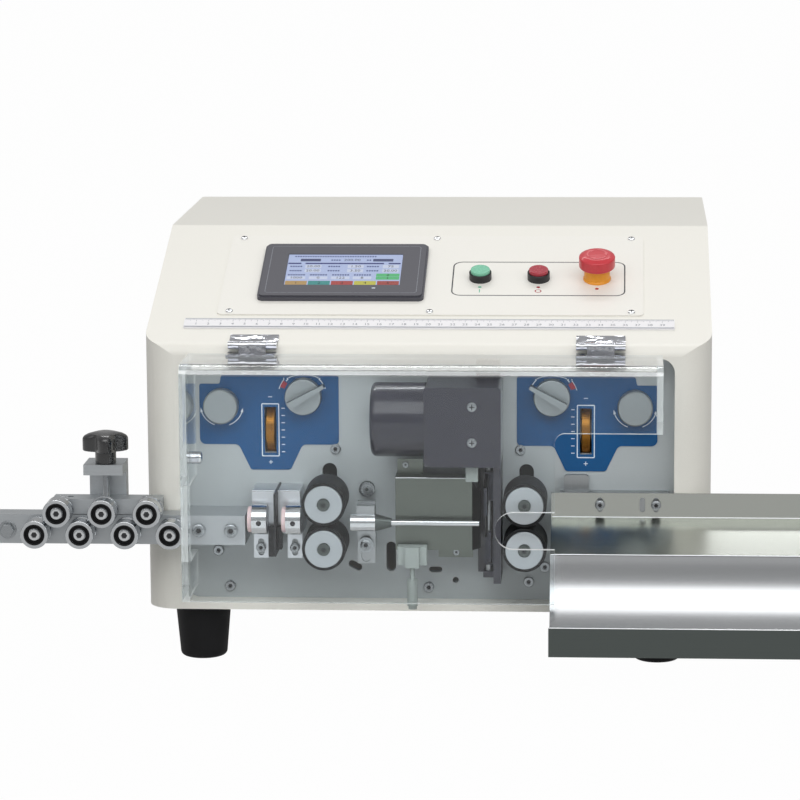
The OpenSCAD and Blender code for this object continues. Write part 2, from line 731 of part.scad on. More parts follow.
// Mains inlet with its rocker switch, on the rear panel.
rocker_w = 19;
rocker_l = 13;
rocker_z = inlet_z + 17;
rocker_tilt = 8;
rocker_y = cab_d - 2;
rocker_pin = 1.5;
socket_z = inlet_z - 12;
module power_inlet() {
  flange = 3;
  deep = 24;
  color("#1b1b1d") difference() {
    union() {
      face_xz(cab_d, cab_d + flange) translate([inlet_x, inlet_z]) round_rect(inlet_w, inlet_h, 3);
      face_xz(cab_d - deep, cab_d + eps)
        translate([inlet_x, inlet_z]) square([inlet_w - 10.6, inlet_h - 10.6], center = true);
    }
    face_xz(cab_d - 18, cab_d + 5) translate([inlet_x, socket_z])
      rounded([[-12, -8], [12, -8], [12, 3], [7, 8], [-7, 8], [-12, 3]], [1, 1, 1, 1, 1, 1]);
    face_xz(cab_d - 12, cab_d + 5)
      translate([inlet_x, rocker_z]) square([rocker_w, rocker_l], center = true);
    rod_x(rocker_y, rocker_z, inlet_x - rocker_w / 2 - 2, inlet_x + rocker_w / 2 + 2, rocker_pin + run_gap);
  }
}
module power_rocker() {
  half = rocker_l / 2 - 0.7;
  color("#2a2a2c") {
    rod_x(rocker_y, rocker_z, inlet_x - rocker_w / 2 - 1.6, inlet_x + rocker_w / 2 + 1.6, rocker_pin);
    at(inlet_x - rocker_w / 2 + 0.4, rocker_y, rocker_z) rotate([rocker_tilt, 0, 0])
      rotate([90, 0, 90]) linear_extrude(rocker_w - 0.8)
        rounded([[-5, -half], [5, -half], [3.6, 0], [5, half], [-5, half]], [0, 1, 4, 1, 0]);
  }
}

// Cutter: painted covers, guard, guide, left- and right-hand screw and the two blades.
guide_x = 55;
guide_low = 29;
guide_y = -25;
screw_y = 4;
module cutter_covers() {
  color("#55565c") {
    difference() {
      face_xz(cut_y, plate_y) translate([(cut_x0 + cut_x1) / 2, (cut_low + cut_top) / 2])
        round_rect(cut_x1 - cut_x0, cut_top - cut_low, 3);
      rod_z(screw_x, screw_y, cut_low - 1, cut_low + 12, screw_r + run_gap);
    }
    at(can_left, can_y, can_z) rotate([0, 90, 0]) rotate_extrude()
      rounded([[0, 0], [can_r, 0], [can_r, cut_x0 - can_left], [can_r - can_t, cut_x0 - can_left],
        [can_r - can_t, can_t], [0, can_t]], [0, 5, 0, 0, 3, 0]);
  }
}
guard_left = -24.5;
guard_right = 37.5;
guard_low = 54.3;
guard_top = 114.2;
guard_y = -15;
guard_t = 1.2;
module chip_guard() {
  bevel_x = 6.5;
  bevel_y = 9;
  tab_y = 0;
  color("#b4b3a8") difference() {
    union() {
      plan_xy(guard_low, guard_top)
        polygon([[guard_left, plate_y], [guard_left, guard_y], [guard_right, guard_y],
          [guard_right + bevel_x, guard_y + bevel_y],
          [guard_right + bevel_x - guard_t, guard_y + bevel_y + 0.8],
          [guard_right - 0.5, guard_y + guard_t], [guard_left + guard_t, guard_y + guard_t],
          [guard_left + guard_t, plate_y]]);
      block(guard_left, guard_right, guard_y, tab_y + guard_t, guard_top - guard_t, guard_top);
      block(guard_left + 0.7, guard_left + 21.7, tab_y, tab_y + guard_t, guard_top - guard_t, guard_top + 12);
      block(guard_right - 29, guard_right, guard_y, tab_y + guard_t, guard_low, guard_low + guard_t);
      block(guard_right - 28, guard_right, tab_y, tab_y + guard_t, guard_low - 9, guard_low + guard_t);
    }
    face_xz(guard_y - 1, guard_y + bevel_y + 2)
      polygon([[guard_right - 3, guard_top + 1], [guard_right + 12, guard_top + 1],
        [guard_right + 12, guard_top - 22]]);
  }
}
module blade_guide() {
  foot_z = 5;
  color("#3c3d42") difference() {
    union() {
      block(guide_x, cut_x1 - 0.5, guide_y, plate_y, guide_low, cut_low);
      block(screw_x - 5, guide_x, screw_y - 6, screw_y + 6, guide_low, guide_low + foot_z);
    }
    rod_z(screw_x, screw_y, guide_low - 1, guide_low + foot_z + 1, screw_r + run_gap);
  }
}
module lead_screw() {
  color("#a7abad") rod_z(screw_x, screw_y, guide_low + 0.5, cut_low + 11, screw_r);
}
module blade(dir, x0) {
  carrier_y = -6;
  carrier_top = 38;
  carrier_low = 15;
  tip_y = -wire_y - 6;
  notch = 5;
  color("#c4c7c8") at(0, 0, wire_z) mirror([0, 0, dir < 0 ? 1 : 0])
    difference() {
      union() {
        translate([guide_x - gap - 7.4, carrier_y, carrier_low]) cube([7.4, 18, carrier_top - carrier_low]);
        translate([x0, 0, 0]) rotate([90, 0, 90]) linear_extrude(blade_t)
          polygon([[tip_y, blade_open], [-wire_y - 4.5, blade_open], [-wire_y, blade_open + notch],
            [-wire_y + 4.5, blade_open], [carrier_y + 3, blade_open + 3], [carrier_y + 3, carrier_top],
            [tip_y, carrier_top - 8]]);
      }
      translate([screw_x, screw_y, 0]) cylinder(h = 60, r = screw_r + run_gap);
    }
}
blade_x = 47.6;
module blade_upper() { blade(1, blade_x); }
module blade_lower() { blade(-1, blade_x + blade_t + gap); }

// Wire inlet: two bored guides on blocks, with the wire sensor between them.
guide_len = 12;
guide_r = 12.2;
guide_bore = 4;
guide_rise = 2;
guide_collar = 3.5;
guide_slot = [5, 14];
guide_slot_z = 56;
inlet_pos = [-139.5, -112];
stand_x = [[-141, -122], [-120, -102]];
module inlet_guides() {
  color("#c2c5c8") for (i = [0, 1]) let(x = inlet_pos[i]) difference() {
    union() {
      rod_x(-wire_y, wire_z + guide_rise, x, x + guide_len, guide_r);
      rod_x(-wire_y, wire_z + guide_rise, x - guide_collar, x, guide_r - 3);
      block(x, x + guide_len, -wire_y + 8, plate_y, wire_z - 12, wire_z + 10);
      block(stand_x[i][0], stand_x[i][1], -wire_y + 12, plate_y, wire_z - 12, wire_z + 23);
      block(x, x + guide_len, -wire_y + 8, -wire_y + 12, 47, wire_z);
    }
    rod_x(-wire_y, wire_z, x - 5, x + guide_len + 1, guide_bore);
    face_xz(-wire_y, 0) translate([x + guide_len / 2, guide_slot_z]) slot2d(guide_slot[0], guide_slot[1]);
  }
}
module wire_sensors() {
  leaf_x = stand_x[0][1];
  color("#1f2022") {
    difference() {
      block(leaf_x + 0.2, leaf_x + 1.8, -wire_y - 6, plate_y, 51, wire_z + 24);
      rod_x(-wire_y, wire_z, leaf_x, leaf_x + 2, guide_bore + 1);
    }
    block(leaf_x - 5.2, leaf_x + 0.3, -wire_y + 3, -wire_y + 11, 49, wire_z - 5);
    block(leaf_x + 1.7, inlet_pos[1] - guide_collar - 0.8, -wire_y + 3, -wire_y + 11, 55, wire_z - 5);
    block(40, 59, plate_y - 10, plate_y, 194, 202);
  }
}

// Swing pipe: tapered holder and guide tube on a slotted arm that turns about its screw.
arm_x = -48.5;
arm_z = 58.3;
arm_y = -14;
arm_t = 6;
arm_left = arm_x - 6.9;
arm_right = arm_x + 7.7;
arm_low = arm_z - 15.7;
arm_top = arm_z + 35.4;
arm_sink = 2;
arm_slot = [7.6, 24];
pivot_r = 3;
pivot_head_r = 6.4;
holder_r = 7;
holder_x = [arm_x - 11.5, arm_x + 8.5, arm_x + 21.5];
module swing_pipe() {
  ear_h = 13.5;
  color("#b3b7ba") difference() {
    union() {
      block(arm_left, arm_right, arm_y, arm_y + arm_t, arm_low, arm_top);
      block(arm_left, arm_right, -wire_y, arm_y + eps, wire_z - holder_r + 1, wire_z + ear_h);
      rod_x(-wire_y, wire_z, holder_x[0], holder_x[1], holder_r);
      rod_x(-wire_y, wire_z, holder_x[1] - eps, holder_x[2], holder_r, tube_r + 1.2);
      rod_x(-wire_y, wire_z, holder_x[1], tube_end, tube_r);
    }
    rod_x(-wire_y, wire_z, holder_x[0] - 1, tube_end + 1, tube_bore);
    rod_y(arm_x, arm_z, arm_y - 1, arm_y + arm_t + 1, pivot_r + run_gap);
    face_xz(arm_y - 1, arm_y + arm_sink)
      translate([arm_x, arm_low + 1.3 + arm_slot[1] / 2]) slot2d(arm_slot[0], arm_slot[1]);
  }
}

// Air nozzle that clears the blades, with its hanging fitting.
nozzle_x = -10.5;
nozzle_y = -22;
nozzle_low = 42;
module air_nozzle() {
  body_w = 23.4;
  nose_w = 11.4;
  body_h = 17;
  pipe_l = 11;
  fitting_l = 21;
  color("#d4d6d4") union() {
    block(nozzle_x - body_w / 2, nozzle_x + body_w / 2, nozzle_y - 4, nozzle_y + 6,
      nozzle_low + 2, nozzle_low + body_h);
    block(nozzle_x - nose_w / 2, nozzle_x + nose_w / 2, nozzle_y - 7, nozzle_y,
      nozzle_low, nozzle_low + body_h);
    block(nozzle_x - 4.5, nozzle_x + 4.5, nozzle_y + 5, plate_y, nozzle_low + 3, nozzle_low + 12);
    rod_z(nozzle_x, nozzle_y - 2, nozzle_low - pipe_l, nozzle_low + 3, 1.9);
    rod_z(nozzle_x, nozzle_y - 2, nozzle_low - pipe_l - fitting_l, nozzle_low - pipe_l + 1, 4.2);
    rod_z(nozzle_x, nozzle_y - 2, nozzle_low - pipe_l - fitting_l - 2.5, nozzle_low - pipe_l, 3.4);
  }
}

// Screws that carry load: the pipe's pivot and stop, the rail's and the tray's screws.
rail_y = -1;
rail_front = rail_y - rail_d;
rail_top = wire_z + 4;
rail_low = rail_top - rail_h;
rail_right = -146;
rail_screws = [rail_right - 37.5, rail_right - 11.5];
stop_x = -49.8;
stop_z = 97.6;
stop_h = 4;
bracket_x0 = tray_left + 7;
bracket_x1 = open_w / 2 - 4;
tray_screws = [bracket_x0 + 32.3, bracket_x1 - 10.5];
tray_screw_z = 90;
module mount_screws() {
  color("#b5b8ba") {
    rod_y(arm_x, arm_z, arm_y - gap, plate_back, pivot_r);
    rod_y(arm_x, arm_z, arm_y - gap - 3, arm_y - gap, pivot_head_r);
    rod_y(arm_x, arm_z, arm_y + arm_t + gap, plate_y, pivot_head_r);
    rod_y(stop_x, stop_z, plate_y - stop_h, plate_y, pivot_head_r);
    for (x = rail_screws) rod_y(x, rail_low + rail_h / 2, rail_front - 3, rail_front, 5.5);
    for (x = tray_screws) rod_y(x, tray_screw_z, rail_y - tray_t - 3, rail_y - tray_t, 4);
    for (x = inlet_pos) rod_y(x + guide_len / 2, guide_slot_z, -wire_y + 5, -wire_y + 8, 4);
  }
}

// Straightener: fixed rail with four rollers, and a bar with three that the knob's screw raises.
roller_back = rail_front - 1;
roller_front = roller_back - roller_l;
bar_x0 = roller_x - roller_gap - 6.5;
bar_x1 = roller_x + roller_gap + 9;
bar_low = rail_top + 0.5;
bar_top = bar_low + bar_h;
knob_x = roller_x;
knob_y = rail_y - rail_d / 2;
stud_r = 3;
stud_flange_r = wire_z + roller_rise - rail_top - gap;
clamp_r = 3;
roof_low = bar_top + bar_lift + 13.5;
roof_t = 8.5;
lower_rollers = [for (i = [-1.5:1:1.5]) roller_x + i * roller_gap];
upper_rollers = [for (i = [-1:1]) roller_x + i * roller_gap];
module roller_stud(x, z) {
  rod_y(x, z, roller_back + gap, rail_front + 1, stud_flange_r);
  rod_y(x, z, roller_front + 1, rail_front + 1, stud_r);
  rod_y(x, z, roller_front + 0.6, roller_front + 2.9, stud_r + 1.6);
}
module straightener_rail() {
  column_t = 12;
  pin_h = bar_h - 3;
  color("#a4a8ab") {
    difference() {
      union() {
        block(rail_left, rail_right, rail_front, rail_y, rail_low, rail_top);
        block(-open_w / 2 + 2, rail_right, rail_y - eps, plate_y, rail_low, rail_top);
        for (x = lower_rollers) roller_stud(x, wire_z - roller_rise);
        for (x = [bar_x0 + 14, bar_x1 - 14]) rod_z(x, knob_y, rail_top - 1, rail_top + 0.5 + pin_h, 2.5);
      }
      rod_y(rail_left + 22, wire_z - roller_rise, rail_front - 1, rail_y + 1, 4);
    }
    difference() {
      union() {
        block(knob_x - 15, knob_x + 15, rail_y, rail_y + column_t, rail_low, roof_low + roof_t);
        block(knob_x - 17, knob_x + 15, rail_front, rail_y + column_t, roof_low, roof_low + roof_t);
      }
      rod_z(knob_x, knob_y, roof_low - 1, roof_low + roof_t + 1, clamp_r + run_gap);
    }
  }
}
module straightener_bar() {
  color("#b4b8ba") difference() {
    union() {
      block(bar_x0, bar_x1, rail_front, rail_y - gap, bar_low, bar_top);
      for (x = upper_rollers) roller_stud(x, wire_z + roller_rise);
    }
    rod_z(knob_x, knob_y, bar_low - 1, bar_top + 1, clamp_r + run_gap);
    for (x = [bar_x0 + 14, bar_x1 - 14]) rod_z(x, knob_y, bar_low - 1, bar_top + 1, 2.5 + run_gap);
  }
}
module clamp_knob() {
  seat = roof_low + roof_t + gap;
  stem = 10;
  grip = 16;
  lobes = 4;
  cap_h = 3;
  color("#1e1e20") union() {
    rod_z(knob_x, knob_y, bar_top - 5.5, seat + 1, clamp_r);
    rod_z(knob_x, knob_y, seat, seat + stem + 1, 8.5);
    at(knob_x, knob_y, seat + stem) linear_extrude(grip - cap_h) difference() {
      circle(knob_d / 2);
      for (i = [0:lobes - 1])
        rotate(45 + i * 360 / lobes) translate([knob_d * 0.72, 0]) circle(knob_d * 0.32);
    }
    rod_z(knob_x, knob_y, seat + stem + 1, seat + stem + grip, knob_d * 0.3);
  }
}
module roller(x, z) {
  groove = 2.6;
  seal_r = 8;
  color("#c6c8c9") difference() {
    turned_y(x, z, roller_front)
      rounded([[stud_r + run_gap, 0], [roller_r, 0], [roller_r, roller_l - 7.5],
        [roller_r - groove, roller_l - 5], [roller_r, roller_l - 2.5], [roller_r, roller_l],
        [stud_r + run_gap, roller_l]], [0, 0.8, 0.3, 0.4, 0.3, 0.5, 0]);
    rod_y(x, z, roller_front - 1, roller_front + 3.2, seal_r);
  }
}
module roller_lower_1() { roller(lower_rollers[0], wire_z - roller_rise); }
module roller_lower_2() { roller(lower_rollers[1], wire_z - roller_rise); }
module roller_lower_3() { roller(lower_rollers[2], wire_z - roller_rise); }
module roller_lower_4() { roller(lower_rollers[3], wire_z - roller_rise); }
module roller_upper_1() { roller(upper_rollers[0], wire_z + roller_rise); }
module roller_upper_2() { roller(upper_rollers[1], wire_z + roller_rise); }
module roller_upper_3() { roller(upper_rollers[2], wire_z + roller_rise); }

// Delivery tray: one bent sheet with flange, chute, round trough and front lip, and its bracket.
flange_z = [79, 99.5];
chute_y = -46;
chute_z = 58;
trough_y = chute_y - trough_r;
module tray() {
  bend = 1;
  floor_z = chute_z - trough_r - tray_t;
  color("#c9cac8") difference() {
    side_yz(tray_left, tray_left + tray_l) union() {
      translate([rail_y - tray_t, flange_z[0]]) square([tray_t, flange_z[1] - flange_z[0]]);
      polygon([[chute_y, chute_z], [chute_y + tray_t * 0.6, chute_z - bend], [rail_y, flange_z[0] - bend],
        [rail_y, flange_z[0] + bend], [rail_y - tray_t, flange_z[0] + bend]]);
      intersection() {
        translate([trough_y, chute_z]) difference() {
          circle(trough_r + tray_t, $fn = 128);
          circle(trough_r, $fn = 128);
        }
        translate([trough_y - tray_t / 2, floor_z - 1])
          square([trough_r + 2 * tray_t, trough_r + tray_t + 1]);
      }
      translate([trough_y - tray_t, floor_z]) square([tray_t, lip_h]);
    }
    face_xz(rail_y - tray_t - 1, rail_y + 1)
      for (x = concat(tray_screws, [tray_screws[1] - 11])) translate([x, tray_screw_z]) slot2d(4.5, 12);
  }
}
module tray_bracket() {
  color("#b0b2b2") {
    block(bracket_x0, bracket_x1, rail_y, plate_y, flange_z[0] + 2, flange_z[1] - 2);
    face_xz(plate_y - 6, plate_y) translate([bracket_x0 + 13, flange_z[1] + 3.5]) round_rect(20, 16, 3);
  }
}

// Hinges and the bent clear cover with its side walls.
hinge_x = [-140, 140.5];
hinge_w = 39.5;
hinge_y = -4;
hinge_z = 219.5;
knuckle_r = 3.2;
pin_h_r = 1.5;
leaf_t = 1.5;
knuckle_mid = 22;
module hinge_leaves() {
  color("#c9cccd") for (x = hinge_x) {
    for (s = [-1, 1])
      rod_x(hinge_y, hinge_z, s < 0 ? x - hinge_w / 2 : x + knuckle_mid / 2 + 0.2,
        s < 0 ? x - knuckle_mid / 2 - 0.2 : x + hinge_w / 2, knuckle_r);
    rod_x(hinge_y, hinge_z, x - hinge_w / 2, x + hinge_w / 2, pin_h_r);
    difference() {
      on_slope(x - hinge_w / 2, -3, 0) cube([hinge_w, 21, leaf_t]);
      rod_x(hinge_y, hinge_z, x - knuckle_mid / 2 - 0.2, x + knuckle_mid / 2 + 0.2, knuckle_r + 0.4);
    }
  }
}
cover_back = -6.8;
stud_y = -30;
stud_z = 132;
module cover_leaves() {
  color("#c9cccd") {
    for (x = hinge_x) difference() {
      union() {
        rod_x(hinge_y, hinge_z, x - knuckle_mid / 2, x + knuckle_mid / 2, knuckle_r);
        block(x - knuckle_mid / 2, x + knuckle_mid / 2, hinge_y - knuckle_r, hinge_y - knuckle_r + leaf_t,
          cover_top, hinge_z);
        block(x - hinge_w / 2, x + hinge_w / 2, hinge_y - 20, hinge_y - knuckle_r + leaf_t,
          cover_top, cover_top + leaf_t);
      }
      rod_x(hinge_y, hinge_z, x - hinge_w, x + hinge_w, pin_h_r + run_gap);
    }
    rod_x(stud_y, stud_z, cover_left + cover_t, cover_left + cover_t + 6, 5);
  }
}
module clear_cover() {
  exit_r = 15;
  exit_x = 57.5 + exit_r;
  under = cover_top - cover_t;
  front = -cover_y;
  notch_y = -48;
  color("#d8e6ec", 0.4) difference() {
    union() {
      side_yz(cover_left, cover_right)
        rounded([[front, cover_low], [front + cover_t, cover_low], [front + cover_t, under],
          [cover_back, under], [cover_back, cover_top], [front, cover_top]],
          [0, 0, cover_bend - cover_t, 0, 0, cover_bend]);
      block(cover_left, cover_left + cover_t, front + cover_t - eps, rail_y, cover_low, under + eps);
      block(cover_right - cover_t, cover_right, front + cover_t - eps, cover_back, cover_step, under + eps);
    }
    face_xz(front - 1, front + cover_t + 1)
      rounded([[cover_low_right, cover_low - 1], [cover_right + 1, cover_low - 1],
        [cover_right + 1, cover_step], [cover_low_right, cover_step]], [0, 0, 0, 8]);
    face_xz(front - 1, front + cover_t + 1) {
      translate([exit_x, wire_z + 3]) circle(exit_r);
      translate([exit_x, wire_z + 3 - exit_r]) square([cover_low_right - exit_x + 1, 2 * exit_r]);
    }
    block(cover_left - 1, cover_left + cover_t + 1, notch_y, rail_y + 1, rail_low - 8, rail_top + 30);
  }
}

cabinet_shell();
chassis();
rubber_feet();
front_plate();
control_panel();
hmi_bezel();
hmi_screen();
ruler_strip();
button_collars();
start_button();
stop_button();
estop_button();
feed_labels();
feed_bearings();
stepper_motors();
electronics();
power_inlet();
power_rocker();
tyre_front_lower();
tyre_front_upper();
tyre_rear_lower();
tyre_rear_upper();
spindle_front_lower();
spindle_front_upper();
spindle_rear_lower();
spindle_rear_upper();
lift_plate_front();
lift_plate_rear();
lift_selector_front();
lift_selector_rear();
thumbwheel_front();
thumbwheel_rear();
pressure_cap_front();
pressure_cap_rear();
cutter_covers();
chip_guard();
blade_guide();
lead_screw();
blade_upper();
blade_lower();
inlet_guides();
wire_sensors();
swing_pipe();
air_nozzle();
mount_screws();
straightener_rail();
straightener_bar();
clamp_knob();
roller_lower_1();
roller_lower_2();
roller_lower_3();
roller_lower_4();
roller_upper_1();
roller_upper_2();
roller_upper_3();
tray();
tray_bracket();
hinge_leaves();
cover_leaves();
clear_cover();
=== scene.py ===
"""Looks of a bench-top wire cutting and stripping machine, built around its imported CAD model."""

import json
import math

import bmesh
import bpy
from mathutils import Matrix, Vector


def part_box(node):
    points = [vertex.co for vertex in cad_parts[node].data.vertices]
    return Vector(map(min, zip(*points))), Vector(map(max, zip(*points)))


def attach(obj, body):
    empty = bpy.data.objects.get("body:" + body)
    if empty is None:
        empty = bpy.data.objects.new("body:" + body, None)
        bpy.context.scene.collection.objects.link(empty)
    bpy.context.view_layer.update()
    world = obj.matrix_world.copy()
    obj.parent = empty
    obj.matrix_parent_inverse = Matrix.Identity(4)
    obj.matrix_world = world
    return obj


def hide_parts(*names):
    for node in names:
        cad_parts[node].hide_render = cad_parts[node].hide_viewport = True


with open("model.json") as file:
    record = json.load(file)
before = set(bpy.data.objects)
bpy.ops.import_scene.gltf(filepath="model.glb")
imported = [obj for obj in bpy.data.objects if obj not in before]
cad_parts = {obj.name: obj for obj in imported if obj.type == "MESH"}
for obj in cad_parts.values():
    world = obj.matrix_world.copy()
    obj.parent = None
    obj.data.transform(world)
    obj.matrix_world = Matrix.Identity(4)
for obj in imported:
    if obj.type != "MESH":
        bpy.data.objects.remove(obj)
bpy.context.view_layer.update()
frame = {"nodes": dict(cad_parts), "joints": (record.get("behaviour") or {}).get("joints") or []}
nodes = frame["nodes"]
joints = {j["name"]: j for j in frame["joints"]}
scene = bpy.context.scene
MM = 0.001

# Places in the cabinet's own measures, in millimetres: x from its middle, y back from its front, z up
# from its bottom. On the slope, s runs up from the front edge and h stands out of it.
shell_low, shell_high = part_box("cabinet_shell")
FRONT_Y = shell_low.y
BASE_Z = shell_low.z
FRONT_H = 217.5
BACK_Y, SIDE_X = (shell_high.y - FRONT_Y) / MM, shell_high.x / MM
slope_out = -Vector(joints["start_press"]["axis"])
slope_up = Vector((0, slope_out.z, -slope_out.y))
PLATE_Y = (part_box("front_plate")[0].y - FRONT_Y) / MM
PANEL_T = 1.2
LABEL_Y = 19.4
WIRE_Y, WIRE_Z = -24, 78.5

# Feed units: the front one is at the left, and the rear one mirrors it at the right.
SIDES = ("front", "rear")
UNITS = tuple(zip(SIDES, (-1, 1)))
LEVELS = ("lower", "upper")
WHEEL_X, WHEEL_Z = 80.4, {"lower": 60.3, "upper": 96.7}
THUMB_X, THUMB_Y, THUMB_Z, THUMB_R = 128.5, 35.5, 146, 20
DIAL_X, DIAL_Z = 101, 174.5
CAP_X, CAP_Z = 168.3, 166.5

# Wire inlet and straightener. A row of rollers: name, count, first x, height over the wire, and the body
# that holds its studs.
GUIDE_X, GUIDE_RISE = (-139.5, -112), 2
GUIDE_SCREW_X = (-133.5, -106)
ROLLER_PITCH = 36.6
ROLLER_ROWS = (("lower", 4, -314.9, -8.7, "machine"), ("upper", 3, -296.6, 8.7, "upper_bar"))


def at(x, y, z):
    return Vector((x * MM, FRONT_Y + y * MM, BASE_Z + z * MM))


def on_slope(x, s, h):
    return at(x, 0, FRONT_H) + slope_up * (s * MM) + slope_out * (h * MM)


def facing(place, out, up):
    """A matrix whose z axis points out of a surface and whose y axis points up along it."""
    z = Vector(out).normalized()
    y = Vector(up).normalized()
    x = y.cross(z)
    m = Matrix((x, y, z)).transposed().to_4x4()
    m.translation = place
    return m


def slope_frame(x, s, h):
    return facing(on_slope(x, s, h), slope_out, slope_up)


def front_frame(x, y, z):
    return facing(at(x, y, z), (0, -1, 0), (0, 0, 1))


def rear_frame(x, y, z):
    return facing(at(x, y, z), (0, 1, 0), (0, 0, 1))


def side_frame(x, y, z, way=1):
    return facing(at(x, y, z), (way, 0, 0), (0, 0, 1))


# Materials

def linear(code):
    """An sRGB hex colour as linear values, with full alpha."""
    parts = [int(code[i:i + 2], 16) / 255 for i in (1, 3, 5)]
    return tuple(c / 12.92 if c <= 0.04045 else ((c + 0.055) / 1.055) ** 2.4 for c in parts) + (1.0,)


def add(tree, kind, links=None, **settings):
    """Adds a node; links maps an input's name or number to a value or to another node's output."""
    n = tree.nodes.new(kind)
    for key, value in settings.items():
        setattr(n, key, value)
    for key, value in (links or {}).items():
        if isinstance(value, bpy.types.NodeSocket):
            tree.links.new(value, n.inputs[key])
        else:
            n.inputs[key].default_value = value
    return n


def surface(name, colour, rough, metal=0.0, **sockets):
    """A new material with one Principled shader and its plain values."""
    mat = bpy.data.materials.new(name)
    mat.use_nodes = True
    tree = mat.node_tree
    shader = tree.nodes["Principled BSDF"]
    shader.inputs["Base Color"].default_value = linear(colour)
    shader.inputs["Roughness"].default_value = rough
    shader.inputs["Metallic"].default_value = metal
    for key, value in sockets.items():
        shader.inputs[key.replace("_", " ").title().replace("Ior", "IOR")].default_value = value
    return mat, tree, shader


# Most of the noise lies between these two values, so tone and roughness run from one to the other.
NOISE_LOW, NOISE_HIGH = 0.3, 0.7


def weather(tree, shader, grain_mm, stretch=(1, 1, 1), tone=0.06, rough=(0.3, 0.5), bump=0.0,
            socket="Base Color", detail=4.0):
    """Noise of a real grain size that varies the tone and roughness, and lifts the surface a little."""
    place = add(tree, "ShaderNodeTexCoord")
    scaled = add(tree, "ShaderNodeMapping", {"Vector": place.outputs["Object"], "Scale": stretch})
    noise = add(tree, "ShaderNodeTexNoise", {"Vector": scaled.outputs["Vector"],
                                             "Scale": 1 / (grain_mm * MM),
                                             "Detail": detail, "Roughness": 0.6})
    base = shader.inputs[socket].default_value
    dark = [c * (1 - tone) for c in base[:3]] + [1]
    light = [min(1, c * (1 + tone)) for c in base[:3]] + [1]
    ramp = add(tree, "ShaderNodeValToRGB", {"Fac": noise.outputs["Fac"]})
    for stop, colour, position in zip(ramp.color_ramp.elements, (dark, light), (NOISE_LOW, NOISE_HIGH)):
        stop.color = colour
        stop.position = position
    tree.links.new(ramp.outputs["Color"], shader.inputs[socket])
    spread = add(tree, "ShaderNodeMapRange", {"Value": noise.outputs["Fac"],
                                              "From Min": NOISE_LOW, "From Max": NOISE_HIGH,
                                              "To Min": rough[0], "To Max": rough[1]})
    tree.links.new(spread.outputs["Result"], shader.inputs["Roughness"])
    if bump:
        lift = add(tree, "ShaderNodeBump", {"Height": noise.outputs["Fac"], "Strength": bump,
                                            "Distance": grain_mm * MM * 0.3})
        tree.links.new(lift.outputs["Normal"], shader.inputs["Normal"])


def finish_of(name, colour, rough, metal=0.0, grain_mm=2.0, stretch=(1, 1, 1), tone=0.05, spread=0.06,
              bump=0.0, detail=4.0, **sockets):
    """A surface with its grain: noise in its tone and roughness, and a little relief."""
    mat, tree, shader = surface(name, colour, rough, metal, **sockets)
    rough_range = (max(0.02, rough - spread), rough + spread)
    weather(tree, shader, grain_mm, stretch, tone, rough_range, bump, detail=detail)
    return mat


def powder_coat(name, colour):
    """Powder coat on steel sheet: satin, with a fine orange peel, drawn at 1.2 mm so that it shows."""
    return finish_of(name, colour, 0.42, grain_mm=1.2, tone=0.012, spread=0.05, bump=0.08, coat_weight=0.08)


def brushed(name, colour, rough, grain_mm, along, tone=0.05, spread=0.07):
    """Brushed metal: streaks run along one axis, a hundred times longer than they are wide."""
    stretch = [1.0, 1.0, 1.0]
    stretch[along] = 0.01
    return finish_of(name, colour, rough, 1.0, grain_mm, tuple(stretch), tone, spread)


